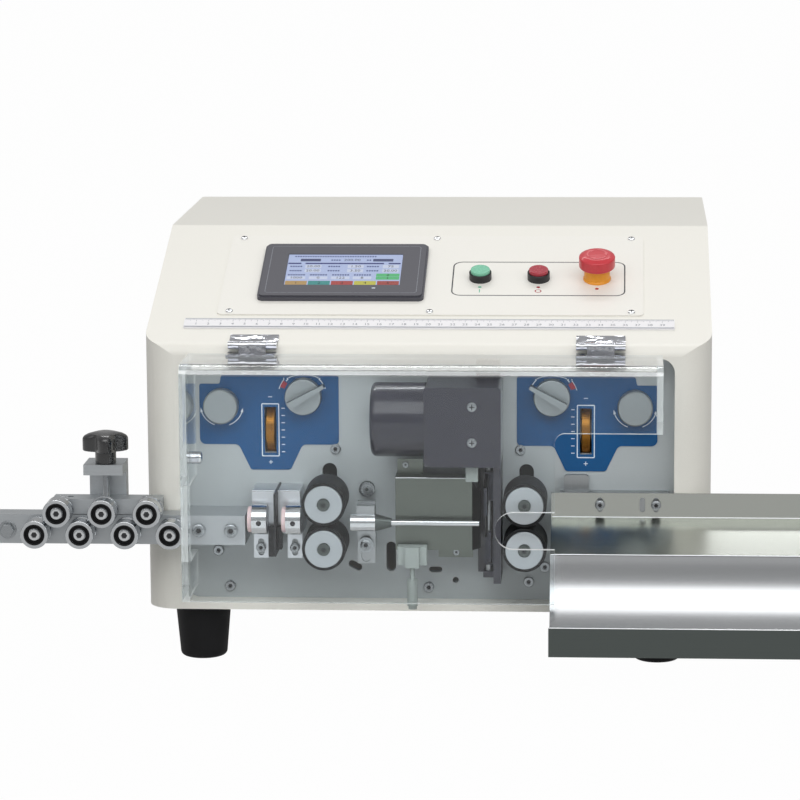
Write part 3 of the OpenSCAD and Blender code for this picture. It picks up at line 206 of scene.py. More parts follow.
mats = {
    # Powder-coated steel sheet: pale and even, with a soft sheen.
    "cream_coat": powder_coat("powder_coat_cream", "#ebe9e1"),
    "panel_coat": powder_coat("powder_coat_panel", "#eceae3"),
    "base_coat": powder_coat("powder_coat_base", "#d9d7cd"),
    # Bead-blasted and grey anodised aluminium plate: flat, with a fine sparkle.
    "plate": finish_of("anodised_grey_plate", "#b2b8ba", 0.42, 0.25, 0.9, tone=0.025, bump=0.03),
    # Gloss powder coat in slate: nearly black, with clear reflections on top.
    "cutter_coat": finish_of("powder_coat_slate", "#1d1d2b", 0.32, grain_mm=1.2, tone=0.02, spread=0.02,
                             coat_weight=0.8, coat_roughness=0.03, specular_ior_level=0.35),
    # Brushed stainless sheet: long streaks that draw out what it mirrors.
    "tray_steel": brushed("stainless_sheet", "#b7bab4", 0.22, 0.6, 0, tone=0.015, spread=0.03),
    # The trough is rolled from the same sheet, which dulls and widens its reflections.
    "trough_steel": brushed("stainless_rolled", "#bcbec0", 0.25, 1.2, 0, tone=0.01, spread=0.012),
    # The lip's outer face: a little duller, and painted much darker than the trough, as painted shade.
    "lip_painted_shade": brushed("stainless_lip_painted_shade", "#5f6563", 0.34, 0.6, 0, tone=0.03, spread=0.04),
    # The chip guard is brushed upright and has dulled to a warm grey.
    "guard_steel": brushed("stainless_guard", "#6b706a", 0.30, 1.5, 2, tone=0.012, spread=0.012),
    # Milled and ground steel: grey, with fine upright tool marks.
    "machined": finish_of("machined_steel", "#a8abad", 0.36, 1.0, 0.7, (1, 1, 0.05), 0.05, 0.08, 0.03),
    # Zinc-plated bar: pale grey and half dull, with marks along its length.
    "rail": finish_of("zinc_plated_bar", "#b6babd", 0.40, 0.8, 1.5, (0.05, 1, 1), 0.04, 0.08, 0.02),
    # Bright chrome: nearly a mirror.
    "bright": finish_of("bright_chrome", "#d7d9db", 0.12, 1.0, 3.0, tone=0.02, spread=0.04),
    # Hard chrome on the straightener's rollers, ground and polished.
    "roller_chrome": finish_of("ground_hard_chrome", "#c6c9cc", 0.15, 1.0, 2.0, tone=0.02, spread=0.05),
    # Pressed and plated hinge leaves: the sheet is not quite flat, so that reflections break up.
    "hinge": finish_of("plated_hinge_sheet", "#c6c8cd", 0.12, 1.0, 9.0, tone=0.05, spread=0.04, bump=0.5,
                       detail=1.0),
    # Turned aluminium: an even pale grey with a satin shine.
    "face": finish_of("turned_aluminium_face", "#b6bcc0", 0.34, 0.9, 0.35, tone=0.03, spread=0.06),
    # Zinc-plated screws, a little dulled by handling.
    "screw": finish_of("zinc_plated_screw", "#a2a6a9", 0.30, 1.0, 0.8, tone=0.06, spread=0.08),
    # Phosphated bolts: dark grey and dull.
    "bolt": finish_of("phosphated_bolt", "#5a605e", 0.42, 0.8, 0.8, tone=0.08),
    # Ground tool steel: dark, with fine upright marks.
    "tool_steel": finish_of("ground_tool_steel", "#404148", 0.32, 1.0, 0.6, (1, 1, 0.05), 0.05, 0.06),
    # Aluminium knobs: blasted on the face; the grip's sides are painted darker, as painted shade along the
    # grip.
    "knob_side_shade": finish_of("knob_side_painted_shade", "#666d70", 0.38, 0.9, 0.8, tone=0.05),
    "knob_alu": finish_of("blasted_aluminium_knob", "#9ea5a8", 0.42, 0.9, 0.8, tone=0.05, bump=0.05),
    # Clear anodised aluminium: pale, with marks drawn along the wire.
    "alu": finish_of("clear_anodised_aluminium", "#d2d5d9", 0.34, 1.0, 1.2, (0.06, 1, 1), 0.04),
    # Blackened steel: a thin uneven film that lets some metal show.
    "blackened": finish_of("blackened_steel", "#4a4a51", 0.45, 0.4, 1.5, tone=0.08, bump=0.03),
    # Turned brass, gone brown.
    "brass": finish_of("turned_brass", "#a06f30", 0.32, 1.0, 1.0, (1, 0.1, 0.1), 0.10),
    # Moulded rubber feet and ground polyurethane tyres: nearly black and without gloss.
    "foot_rubber": finish_of("moulded_rubber", "#101012", 0.62, grain_mm=0.8, tone=0.10, bump=0.12,
                             specular_ior_level=0.25),
    "tyre_rubber": finish_of("ground_polyurethane", "#101113", 0.58, grain_mm=0.7, stretch=(1, 0.15, 1),
                             tone=0.10, bump=0.15, specular_ior_level=0.35),
    # Moulded ABS: the fine dull grain of its mould.
    "bezel": finish_of("moulded_abs_grey", "#4b4b53", 0.48, grain_mm=0.6, tone=0.05, bump=0.08),
    "black_abs": finish_of("moulded_abs_black", "#1d1d20", 0.42, grain_mm=0.7, tone=0.08, bump=0.06),
    # Pressed bakelite: black under a soft gloss.
    "bakelite": finish_of("pressed_bakelite", "#19191b", 0.26, grain_mm=3.0, tone=0.10, coat_weight=1.0,
                          coat_roughness=0.25),
    # Printed polyester film: an even deep blue.
    "label_film": finish_of("printed_film_blue", "#084e82", 0.34, grain_mm=2.5, tone=0.03,
                            specular_ior_level=0.35),
    # Button caps in clear and moulded plastics: full colours with a small highlight.
    "green_cap": finish_of("clear_green_plastic", "#78c4a3", 0.24, grain_mm=2.0, tone=0.05, coat_weight=0.4),
    "red_cap": finish_of("clear_red_plastic", "#a81f33", 0.24, grain_mm=2.0, tone=0.05, coat_weight=0.4),
    "mushroom": finish_of("moulded_red_plastic", "#c92f3a", 0.34, grain_mm=2.0, tone=0.04, coat_weight=0.3),
    "yellow": finish_of("moulded_yellow_plastic", "#f0a125", 0.38, grain_mm=2.0, tone=0.03),
    # Nylon: waxy, and a little soft at its edges where it is cast.
    "pink": finish_of("cast_nylon_pink", "#e3c6c6", 0.50, grain_mm=1.5, tone=0.03, subsurface_weight=0.1),
    "grey_nylon": finish_of("moulded_nylon_grey", "#9aa29f", 0.40, grain_mm=1.5, tone=0.04),
    # Printed plastic rule: bright white with grey lines.
    "ruler": finish_of("printed_plastic_ruler", "#ebeaec", 0.34, grain_mm=4.0, tone=0.01),
    "ruler_edge": finish_of("ruler_ink_grey", "#9ea2ac", 0.45, grain_mm=2.0, tone=0.04),
    # Screen-printed inks: flat and dull.
    "ink_black": finish_of("screen_ink_black", "#3c3d42", 0.55, grain_mm=1.0, tone=0.05),
    "ink_white": finish_of("screen_ink_white", "#dfe8f0", 0.50, grain_mm=1.0, tone=0.03),
    "ink_grey": finish_of("screen_ink_grey", "#85878f", 0.55, grain_mm=1.0, tone=0.05),
    "ink_red": finish_of("screen_ink_red", "#a02f3f", 0.50, grain_mm=1.0, tone=0.04),
    "ink_pale": finish_of("moulded_red_relief", "#d9666c", 0.40, grain_mm=1.0, tone=0.04),
    # The cut edge of the bezel's film: a thin grey line.
    "film_line": finish_of("polyester_film_edge", "#7d8088", 0.30, grain_mm=2.0, tone=0.05),
    # Zinc plates behind the hinges: dull grey.
    "clamp_grey": finish_of("zinc_clamp_plate", "#8b8d90", 0.40, 0.6, 1.2, tone=0.06),
    # Painted shade: a near-black put in recesses and on what is deep inside, in place of their shade.
    "recess_shade": finish_of("recess_painted_shade", "#232326", 0.60, grain_mm=1.0, tone=0.06),
    # Parts inside: a lacquered board and painted motors.
    "board": finish_of("coated_circuit_board", "#2c5c3c", 0.45, grain_mm=1.5, tone=0.10),
    "motor": finish_of("painted_motor_body", "#2d2e32", 0.48, grain_mm=1.2, tone=0.06, bump=0.06),
}

CLEAR_TINT = (0.97, 0.98, 0.98, 1)


def clear_acrylic(name, colour, rough, **coat):
    """Cast acrylic sheet, bent hot: clear and glossy, with light let through to what is behind it."""
    mat, tree, shader = surface(name, colour, rough, ior=1.12, transmission_weight=1.0,
                                coat_roughness=0.02, **coat)
    path = add(tree, "ShaderNodeLightPath")
    through = add(tree, "ShaderNodeBsdfTransparent", {"Color": CLEAR_TINT})
    mix = add(tree, "ShaderNodeMixShader", {0: path.outputs["Is Shadow Ray"], 1: shader.outputs["BSDF"],
                                            2: through.outputs["BSDF"]})
    tree.links.new(mix.outputs["Shader"], tree.nodes["Material Output"].inputs["Surface"])
    return mat


def sawn_acrylic(name, colour, clear):
    """The sawn and scraped edge of the sheet: it scatters some light and lets the rest through."""
    mat, tree, shader = surface(name, colour, 0.35)
    weather(tree, shader, 0.8, tone=0.03, rough=(0.3, 0.4))
    through = add(tree, "ShaderNodeBsdfTransparent", {"Color": CLEAR_TINT})
    mix = add(tree, "ShaderNodeMixShader", {0: clear, 1: shader.outputs["BSDF"], 2: through.outputs["BSDF"]})
    tree.links.new(mix.outputs["Shader"], tree.nodes["Material Output"].inputs["Surface"])
    return mat


def lit(name, colour, glow=0.72):
    """A patch of the lit display: mostly its own light in fine pixels, on a dim and glossy face."""
    mat, tree, shader = surface(name, "#1a1c22", 0.25)
    shader.inputs["Emission Color"].default_value = linear(colour)
    shader.inputs["Emission Strength"].default_value = glow
    weather(tree, shader, 0.3, tone=0.06, rough=(0.2, 0.3), socket="Emission Color")
    return mat


mats["acrylic"] = clear_acrylic("cast_acrylic_clear", "#f7fafb", 0.02, coat_weight=0.45)
# The bend gathers light along its whole length, so it shines more than the flat sheet.
mats["acrylic_bend"] = clear_acrylic("cast_acrylic_bend", "#f7fafb", 0.04, coat_weight=1.0, coat_ior=2.4)
mats["acrylic_edge"] = sawn_acrylic("cast_acrylic_sawn_edge", "#eef2f1", 0.5)
mats["acrylic_slot"] = sawn_acrylic("cast_acrylic_milled_slot", "#ffffff", 0.1)
mats["lit_ink"] = lit("display_ink", "#0b1030", 0.3)
DISPLAY_COLOURS = {"sky": "#bccbf2", "navy": "#0d1a72", "white": "#d9e2f9", "grey": "#43518c",
                   "slate": "#3a4474", "green": "#52c478", "tan": "#bf9a58", "teal": "#2a9490",
                   "red": "#b3362c", "lime": "#cdc83c", "rust": "#a83a2b"}
for key, colour in DISPLAY_COLOURS.items():
    mats["lit_" + key] = lit("display_" + key, colour)


def dress(material, *names):
    """Gives CAD nodes a finish."""
    for name in names:
        data = nodes[name].data
        data.materials.clear()
        data.materials.append(mats[material])


dress("cream_coat", "cabinet_shell")
dress("base_coat", "chassis")
dress("foot_rubber", "rubber_feet")
dress("plate", "front_plate")
dress("panel_coat", "control_panel")
dress("bezel", "hmi_bezel")
dress("lit_sky", "hmi_screen")
dress("ruler", "ruler_strip")
dress("green_cap", "start_button")
dress("red_cap", "stop_button")
dress("mushroom", "estop_button")
dress("label_film", "feed_labels")
dress("machined", "feed_bearings", "lead_screw", "swing_pipe", "tray_bracket")
dress("motor", "stepper_motors")
dress("board", "electronics")
dress("black_abs", "power_inlet", "power_rocker", "wire_sensors", "button_collars")
dress("cutter_coat", "cutter_covers")
dress("guard_steel", "chip_guard")
dress("blackened", "blade_guide")
dress("tool_steel", "blade_upper", "blade_lower")
dress("screw", "mount_screws")
dress("hinge", "hinge_leaves", "cover_leaves")
dress("alu", "inlet_guides")
dress("grey_nylon", "air_nozzle")
dress("rail", "straightener_rail", "straightener_bar")
dress("bakelite", "clamp_knob")
dress("tray_steel", "tray")
dress("acrylic", "clear_cover")
for side in SIDES:
    dress("machined", f"lift_plate_{side}")
    dress("knob_alu", f"lift_selector_{side}", f"pressure_cap_{side}")
    dress("brass", f"thumbwheel_{side}")
    for level in LEVELS:
        dress("tyre_rubber", f"tyre_{side}_{level}")
        dress("face", f"spindle_{side}_{level}")
for row, count, *_ in ROLLER_ROWS:
    for i in range(count):
        dress("roller_chrome", f"roller_{row}_{i + 1}")


def dress_part(node, material, test):
    """Gives a second finish to the faces of a CAD node whose middle passes a test."""
    data = nodes[node].data
    data.materials.append(mats[material])
    for face in data.polygons:
        middle = (face.center - at(0, 0, 0)) / MM
        if test(middle, face.normal):
            face.material_index = len(data.materials) - 1


def off_wire(c, rise=0):
    """Distance of a point from the wire's line, or from a line above it."""
    return math.hypot(c.y - WIRE_Y, c.z - WIRE_Z - rise)


# Where one finish gives way to the next, in the cabinet's measures
ESTOP_SLEEVE_X = 112
BARREL_R0, BARREL_R1 = 11, 12.5
TROUGH_Y, LIP_TOP_Z = -46, 16
CONE_X0, CONE_X1, TUBE_R, CONE_R = -39.5, -27.5, 7.2, 7.6
STOP_X0, STOP_X1, STOP_LOW_Z = -60, -40, 90
LIFT_INSIDE_Y, GRIP_BACK_Y = 25, 9.5
WHEEL_BOLT_Y, WHEEL_BOLT_R = -43.2, 5.4
SHEET_BACK_Y, WALL_X, SHEET_END_X = -64.5, 184.5, 186
SHEET_TOP_Z, WALL_TOP_Z, BEND_LOW_Z = 202, 207, 195
EXIT_X, EXIT_Z0, EXIT_Z1 = 60, 45, 110


def bolt_of_wheel(way, level):
    """A test that is true on the bolt in the middle of a feed wheel."""
    x, z = way * WHEEL_X, WHEEL_Z[level]
    return lambda c, n: c.y < WHEEL_BOLT_Y and math.hypot(c.x - x, c.z - z) < WHEEL_BOLT_R


def sawn_edge(c, n):
    """True on the cut edges of the bent sheet and of its two walls."""
    if c.y < SHEET_BACK_Y:
        return abs(n.y) < 0.3 and c.z < SHEET_TOP_Z and abs(c.x) < SHEET_END_X
    if abs(c.x) > WALL_X and c.z < WALL_TOP_Z:
        return abs(n.x) < 0.3
    return n.y > 0.9 and c.z > WALL_TOP_Z


def exit_slot(c, n):
    """True on the milled edge of the slot where the wire leaves the cover."""
    return c.y < SHEET_BACK_Y and abs(n.y) < 0.3 and c.x > EXIT_X and EXIT_Z0 < c.z < EXIT_Z1


dress_part("button_collars", "yellow", lambda c, n: c.x > ESTOP_SLEEVE_X)
dress_part("inlet_guides", "bright",
           lambda c, n: abs(n.x) < 0.5 and BARREL_R0 < off_wire(c, GUIDE_RISE) < BARREL_R1)
dress_part("tray", "trough_steel", lambda c, n: c.y < TROUGH_Y)
# The lip's outer faces below its top edge get the painted shade.
dress_part("tray", "lip_painted_shade", lambda c, n: n.y < -0.9 and c.z < LIP_TOP_Z)
dress_part("swing_pipe", "bright",
           lambda c, n: off_wire(c) < TUBE_R and (c.x < CONE_X0 or c.x > CONE_X1))
dress_part("swing_pipe", "bolt", lambda c, n: off_wire(c) < CONE_R and CONE_X0 < c.x < CONE_X1)
dress_part("mount_screws", "bolt", lambda c, n: STOP_X0 < c.x < STOP_X1 and c.z > STOP_LOW_Z)
for side in SIDES:
    # The lift plate's faces deep inside the unit get painted shade.
    dress_part(f"lift_plate_{side}", "recess_shade", lambda c, n: c.y > LIFT_INSIDE_Y)
    # The grip's side faces get the darker painted shade.
    dress_part(f"lift_selector_{side}", "knob_side_shade", lambda c, n: c.y < GRIP_BACK_Y and abs(n.y) < 0.3)
for side, way in UNITS:
    for level in LEVELS:
        dress_part(f"spindle_{side}_{level}", "bolt", bolt_of_wheel(way, level))
dress_part("clear_cover", "acrylic_bend", lambda c, n: n.y < 0.2 and n.z > 0.2 and c.z > BEND_LOW_Z)
dress_part("clear_cover", "acrylic_edge", sawn_edge)
dress_part("clear_cover", "acrylic_slot", exit_slot)


# Mesh helpers
SHARP_ANGLE = math.radians(32)
SAMPLE = Matrix.Identity(4)


def soften(data):
    """Smooth shading that stays sharp at corners."""
    data.shade_smooth()
    data.set_sharp_from_angle(angle=SHARP_ANGLE)


def piece(name, bm, material, body, smooth=True):
    """A finished piece: its place is in its mesh, and it rides on a body."""
    bmesh.ops.remove_doubles(bm, verts=bm.verts, dist=1e-7)
    bmesh.ops.recalc_face_normals(bm, faces=bm.faces)
    data = bpy.data.meshes.new(name)
    bm.to_mesh(data)
    bm.free()
    data.materials.append(mats[material])
    obj = bpy.data.objects.new(name, data)
    scene.collection.objects.link(obj)
    if smooth:
        soften(data)
    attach(obj, body)
    return obj


def lifted(h):
    return Matrix.Translation((0, 0, h * MM))


def polar(r, a, h):
    """A point at a radius and a height in millimetres, and an angle."""
    return Vector((r * MM * math.cos(a), r * MM * math.sin(a), h * MM))


def round_turn(steps):
    """Even angles all the way round."""
    return [2 * math.pi * k / steps for k in range(steps)]


def skin(bm, rings):
    """Closes the bands between rings of as many points each."""
    for low, high in zip(rings, rings[1:]):
        for k in range(len(low)):
            n = (k + 1) % len(low)
            bm.faces.new((low[k], low[n], high[n], high[k]))


def lathe(profile, place, steps=48):
    """A turned shape: radius and height pairs in millimetres, about the z axis of a placing matrix."""
    bm = bmesh.new()
    rings = []
    for r, h in profile:
        if r < 1e-6:
            rings.append([bm.verts.new(place @ Vector((0, 0, h * MM)))])
        else:
            rings.append([bm.verts.new(place @ polar(r, a, h)) for a in round_turn(steps)])
    for low, high in zip(rings, rings[1:]):
        for k in range(steps):
            ring = [low[k % len(low)], low[(k + 1) % len(low)],
                    high[(k + 1) % len(high)], high[k % len(high)]]
            corners = list(dict.fromkeys(ring))
            if len(corners) > 2:
                bm.faces.new(corners)
    return bm


def round_corners(w, h, r, steps=6):
    """The outline of a rounded rectangle about the middle, in millimetres."""
    points = []
    u, v = w / 2 - r, h / 2 - r
    for cx, cy, a0 in ((u, v, 0), (-u, v, 90), (-u, -v, 180), (u, -v, 270)):
        for k in range(steps + 1):
            a = math.radians(a0 + 90 * k / steps)
            points.append((cx + r * math.cos(a), cy + r * math.sin(a)))
    return points


def slot_outline(w, h, steps=8):
    """The outline of a slot with round ends, the longer way along its longer size."""
    return round_corners(w, h, min(w, h) / 2 - 0.001, steps)


def bar_outline(half_w, half_h):
    return [(-half_w, -half_h), (half_w, -half_h), (half_w, half_h), (-half_w, half_h)]


def slab(outline, thick, place, bevel=0.0):
    """A flat outline in millimetres, raised by a thickness, with a softened upper edge."""
    bm = bmesh.new()
    layers = [(outline, 0.0)]
    if bevel:
        mid_x = sum(p[0] for p in outline) / len(outline)
        mid_y = sum(p[1] for p in outline) / len(outline)
        reach = max(max(abs(p[0] - mid_x), abs(p[1] - mid_y)) for p in outline)
        share = 1 - bevel / reach
        inner = [(mid_x + (p[0] - mid_x) * share, mid_y + (p[1] - mid_y) * share) for p in outline]
        layers += [(outline, thick - bevel), (inner, thick)]
    else:
        layers += [(outline, thick)]
    rings = [[bm.verts.new(place @ Vector((x * MM, y * MM, h * MM))) for x, y in ring] for ring, h in layers]
    bm.faces.new(rings[0])
    bm.faces.new(rings[-1])
    skin(bm, rings)
    return bm


def rim(outline, width, thick, place):
    """A printed line of even width round an outline."""
    bm = bmesh.new()
    count = len(outline)
    inner = []
    for k, (x, y) in enumerate(outline):
        ax, ay = outline[k - 1]
        bx, by = outline[(k + 1) % count]
        nx, ny = -(by - ay), bx - ax
        size = math.hypot(nx, ny)
        inner.append((x + nx / size * width, y + ny / size * width))
    (out_low, out_high), (in_low, in_high) = (
        [[bm.verts.new(place @ Vector((x * MM, y * MM, h * MM))) for x, y in line] for h in (0, thick)]
        for line in (outline, inner))
    for k in range(count):
        n = (k + 1) % count
        bm.faces.new((out_high[k], out_high[n], in_high[n], in_high[k]))
        bm.faces.new((out_low[k], in_low[k], in_low[n], out_low[n]))
        bm.faces.new((out_low[k], out_low[n], out_high[n], out_high[k]))
        bm.faces.new((in_low[k], in_high[k], in_high[n], in_low[n]))
    return bm


def join(*parts):
    """Several meshes as one."""
    whole = bmesh.new()
    for part in parts:
        data = bpy.data.meshes.new("part")
        part.to_mesh(data)
        part.free()
        whole.from_mesh(data)
        bpy.data.meshes.remove(data)
    return whole


def box(x0, x1, y0, y1, z0, z1, bevel):
    """A block with softened edges, in the cabinet's measures."""
    bm = bmesh.new()
    low, high = at(x0, y0, z0), at(x1, y1, z1)
    bmesh.ops.create_cube(bm, size=1)
    for v in bm.verts:
        v.co = Vector([low[i] + (high[i] - low[i]) * (v.co[i] + 0.5) for i in range(3)])
    bmesh.ops.bevel(bm, geom=bm.edges[:], offset=bevel * MM, segments=2, affect="EDGES", profile=0.6)
    return bm


def round_edge(x0, x1, y, z, r):
    """A small round along x."""
    long = x1 - x0
    return lathe([(0, 0), (r, 0), (r, long), (0, long)], side_frame(x0, y, z), 12)


def figures(text, size, place, thick):
    """Plain figures and signs as a thin raised mesh."""
    curve = bpy.data.curves.new("figures", "FONT")
    curve.body = text
    curve.size = size * MM
    curve.align_x = "CENTER"
    curve.align_y = "CENTER"
    curve.extrude = thick * MM
    curve.resolution_u = 2
    obj = bpy.data.objects.new("figures", curve)
    scene.collection.objects.link(obj)
    bpy.context.view_layer.update()
    data = bpy.data.meshes.new_from_object(obj.evaluated_get(bpy.context.evaluated_depsgraph_get()))
    data.transform(place)
    bm = bmesh.new()
    bm.from_mesh(data)
    bpy.data.objects.remove(obj)
    bpy.data.meshes.remove(data)
    return bm


def arc_arrow(place, r, start, stop, width, head, thick=0.06, steps=20):
    """A printed arc, with an arrow head if that has a size; degrees, anticlockwise from the right."""
    bm = bmesh.new()
    way = 1 if stop > start else -1
    rows = []
    for k in range(steps + 1):
        a = math.radians(start + (stop - start) * k / steps)
        rows.append([bm.verts.new(place @ polar(q, a, thick)) for q in (r - width / 2, r + width / 2)])
    for low, high in zip(rows, rows[1:]):
        bm.faces.new((low[0], low[1], high[1], high[0]))
    if head:
        a = math.radians(stop)
        tip = math.radians(stop + way * math.degrees(head * 1.5 / r))
        bm.faces.new([bm.verts.new(place @ polar(q, t, thick))
                      for q, t in ((r - head / 2, a), (r + head / 2, a), (r, tip))])
    return bm


# Repeats made by Geometry Nodes

def repeat(name, sample, places, material, body):
    """Copies of a sample mesh, each with its z axis out of the surface, as one realized mesh."""
    tree = bpy.data.node_groups.new(name + "_repeat", "GeometryNodeTree")
    tree.interface.new_socket("Geometry", in_out="INPUT", socket_type="NodeSocketGeometry")
    size = tree.interface.new_socket("Size", in_out="INPUT", socket_type="NodeSocketFloat")
    shape = tree.interface.new_socket("Shape", in_out="INPUT", socket_type="NodeSocketObject")
    tree.interface.new_socket("Geometry", in_out="OUTPUT", socket_type="NodeSocketGeometry")
    inp = add(tree, "NodeGroupInput")
    turn = add(tree, "GeometryNodeInputNamedAttribute", {"Name": "turn"}, data_type="FLOAT_VECTOR")
    source = add(tree, "GeometryNodeObjectInfo", {"Object": inp.outputs["Shape"]})
    copies = add(tree, "GeometryNodeInstanceOnPoints",
                 {"Points": inp.outputs["Geometry"], "Instance": source.outputs["Geometry"],
                  "Rotation": turn.outputs[0], "Scale": inp.outputs["Size"]})
    real = add(tree, "GeometryNodeRealizeInstances", {"Geometry": copies.outputs["Instances"]})
    paint = add(tree, "GeometryNodeSetMaterial", {"Geometry": real.outputs["Geometry"],
                                                  "Material": mats[material]})
    add(tree, "NodeGroupOutput", {"Geometry": paint.outputs["Geometry"]})
    sample_data = bpy.data.meshes.new(name + "_sample")
    sample.to_mesh(sample_data)
    sample.free()
    sample_obj = bpy.data.objects.new(name + "_sample", sample_data)
    scene.collection.objects.link(sample_obj)
    points = bpy.data.meshes.new(name + "_points")
    points.from_pydata([m.translation for m in places], [], [])
    turns = points.attributes.new("turn", "FLOAT_VECTOR", "POINT")
    turns.data.foreach_set("vector", [a for m in places for a in m.to_euler()])
    host = bpy.data.objects.new(name + "_host", points)
    scene.collection.objects.link(host)
    modifier = host.modifiers.new("repeat", "NODES")
    modifier.node_group = tree
    modifier[size.identifier] = 1.0
    modifier[shape.identifier] = sample_obj
    bpy.context.view_layer.update()
    data = bpy.data.meshes.new_from_object(host.evaluated_get(bpy.context.evaluated_depsgraph_get()))
    bpy.data.objects.remove(host)
    bpy.data.objects.remove(sample_obj)
    data.name = name
    obj = bpy.data.objects.new(name, data)
    scene.collection.objects.link(obj)
    soften(data)
    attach(obj, body)


def cap_screw(r, h, socket, deep):
    """A socket-head cap screw's head, standing on z = 0, with a hexagon socket."""
    mouth_r = socket * 1.25
    bm = lathe([(0, -0.2), (r, -0.2), (r, h * 0.8), (r - 0.12 * r, h), (mouth_r, h)], SAMPLE, 24)
    low, high = ([bm.verts.new(polar(socket, math.pi * k / 3, z)) for k in range(6)] for z in (h - deep, h))
    ring = sorted((v for v in bm.verts
                   if abs(v.co.z - h * MM) < 1e-7 and abs(v.co.xy.length - mouth_r * MM) < 1e-6),
                  key=lambda v: math.atan2(v.co.y, v.co.x) % (2 * math.pi))
    per = len(ring) // 6
    for k in range(6):
        n = (k + 1) % 6
        span = [ring[(k * per + j) % len(ring)] for j in range(per + 1)]
        bm.faces.new(span + [high[n], high[k]])
        bm.faces.new((high[k], high[n], low[n], low[k]))
    bm.faces.new(low)
    return bm


def pan_screw(r, h):
    """A pan head, standing on z = 0."""
    profile = [(0, -0.2), (r, -0.2), (r, h * 0.45), (r * 0.86, h * 0.8), (r * 0.55, h), (0, h)]
    return lathe(profile, SAMPLE, 24)


def cross_mark(r, h):
    """A cross of painted shade standing for the recess, just proud of a pan head."""
    arms = []
    for turn in (0, 90):
        place = lifted(h) @ Matrix.Rotation(math.radians(turn), 4, "Z")
        arms.append(slab(bar_outline(r * 0.55, r * 0.11), 0.03, place))
    return join(*arms)


def screws(name, head_r, head_h, places, body, socket=0.48, material="screw"):
    """A set of like screws: the heads, and painted shade in their recesses; socket is its share of the head.
    """
    if socket:
        repeat(name, cap_screw(head_r, head_h, head_r * socket, head_h * 0.6), places, material, body)
        dark = head_r * (socket - 0.08)
        # A dark disc at the socket's bottom, as painted shade.
        bottom = lathe([(0, 0), (dark, 0), (dark, 0.05), (0, 0.05)], lifted(head_h * 0.42), 6)
        repeat(name + "_sockets", bottom, places, "recess_shade", body)
    else:
        repeat(name, pan_screw(head_r, head_h), places, material, body)
        repeat(name + "_crosses", cross_mark(head_r, head_h), places, "recess_shade", body)


# Fasteners of the panel, the mechanism plate, the cutter and the rollers
PLATE_SCREWS = ((-172.5, 45.5), (-163.2, 15.6), (0.3, 15.7), (82.2, 20.9), (95.5, 33.4))
CUTTER_FACE_Y, CUTTER_SCREW_X = -40, 38.5
STUD_SINK, STUD_SOCKET = 0.6, 0.66
screws("panel_screws", 2.9, 1.5, [slope_frame(x, s, PANEL_T) for x in (-165, 0, 165) for s in (58, 188)],
       "machine", socket=0, material="bright")
screws("plate_screws", 4.4, 3.0, [front_frame(x, PLATE_Y, z) for x, z in PLATE_SCREWS], "machine")
screws("label_screws", 4.2, 2.2, [front_frame(x, PLATE_Y, 130.5) for x in (-75.5, 75.5)], "machine")
screws("cutter_screws", 3.9, 1.8, [front_frame(CUTTER_SCREW_X, CUTTER_FACE_Y, z) for z in (147, 176)],
       "machine", socket=0)
screws("guard_screws", 2.6, 1.6, [front_frame(-17, 0, 121.5), front_frame(24, 0, 49.5)], "machine")
for row, count, x0, rise, body in ROLLER_ROWS:
    stud_y = (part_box(f"roller_{row}_1")[0].y - FRONT_Y) / MM + STUD_SINK
    screws(f"stud_heads_{row}", 4.3, 1.0,
           [front_frame(x0 + ROLLER_PITCH * i, stud_y, WIRE_Z + rise) for i in range(count)],
           body, STUD_SOCKET, "bright")

# Back and sides: screws that hold the shell to the chassis, and the pins of the mains inlet
INLET_X, INLET_Z, INLET_DEEP = 150, 50, 18.2
screws("rear_screws", 3.6, 1.9,
       [rear_frame(x, BACK_Y, z) for x in (-217, 217) for z in (16, 146, 276)]
       + [rear_frame(0, BACK_Y, z) for z in (16, 276)], "machine", socket=0)
screws("side_screws", 3.6, 1.9,
       [side_frame(way * SIDE_X, y, 14, way) for way in (-1, 1) for y in (60, 210, 360)],
       "machine", socket=0)
repeat("inlet_pins", slab(round_corners(2, 5, 0.5, 2), 11, SAMPLE, 0.4),
       [rear_frame(INLET_X + x, BACK_Y - INLET_DEEP, INLET_Z + z) for x, z in ((0, 3.5), (-7, -2), (7, -2))],
       "screw", "machine")

# Display: a lit field of plain bars, numbers and keys; u and v run from the screen's middle
SCREEN_X, SCREEN_S, SCREEN_H, BEZEL_H = -75, 123, 5.5, 6.0
VALUE_U, VALUE_V = (-26, 9.6, 39.1), (5.8, -1.8)
CAPTION_U, TITLE_V = (-40.4, -8.5, 24), 17.2
LOW_U, LOW_V = (-39, -20.5, -2, 16.2), -14.4
KEY_U, KEY_V = (-38.4, -19.2, 0, 19.2, 38.4), -23.4
READY_U, READY_V = 37.5, (-9.4, -14.9)
LETTER_STEP = 2.1
LETTER = (1.5, 2.2, 0.2)


def field(u, v, w, h, r=0.6, raise_by=0.04):
    """A rounded patch on the display, from its middle and size in millimetres."""
    place = slope_frame(SCREEN_X + u, SCREEN_S + v, SCREEN_H + raise_by)
    return slab(round_corners(w, h, r, 3), 0.03, place)


def fields(name, material, places):
    piece(name, join(*[field(*place) for place in places]), material, "machine", smooth=False)


def number(text, u, v):
    return figures(text, 5.2, slope_frame(SCREEN_X + u, SCREEN_S + v, SCREEN_H + 0.12), 0.01)


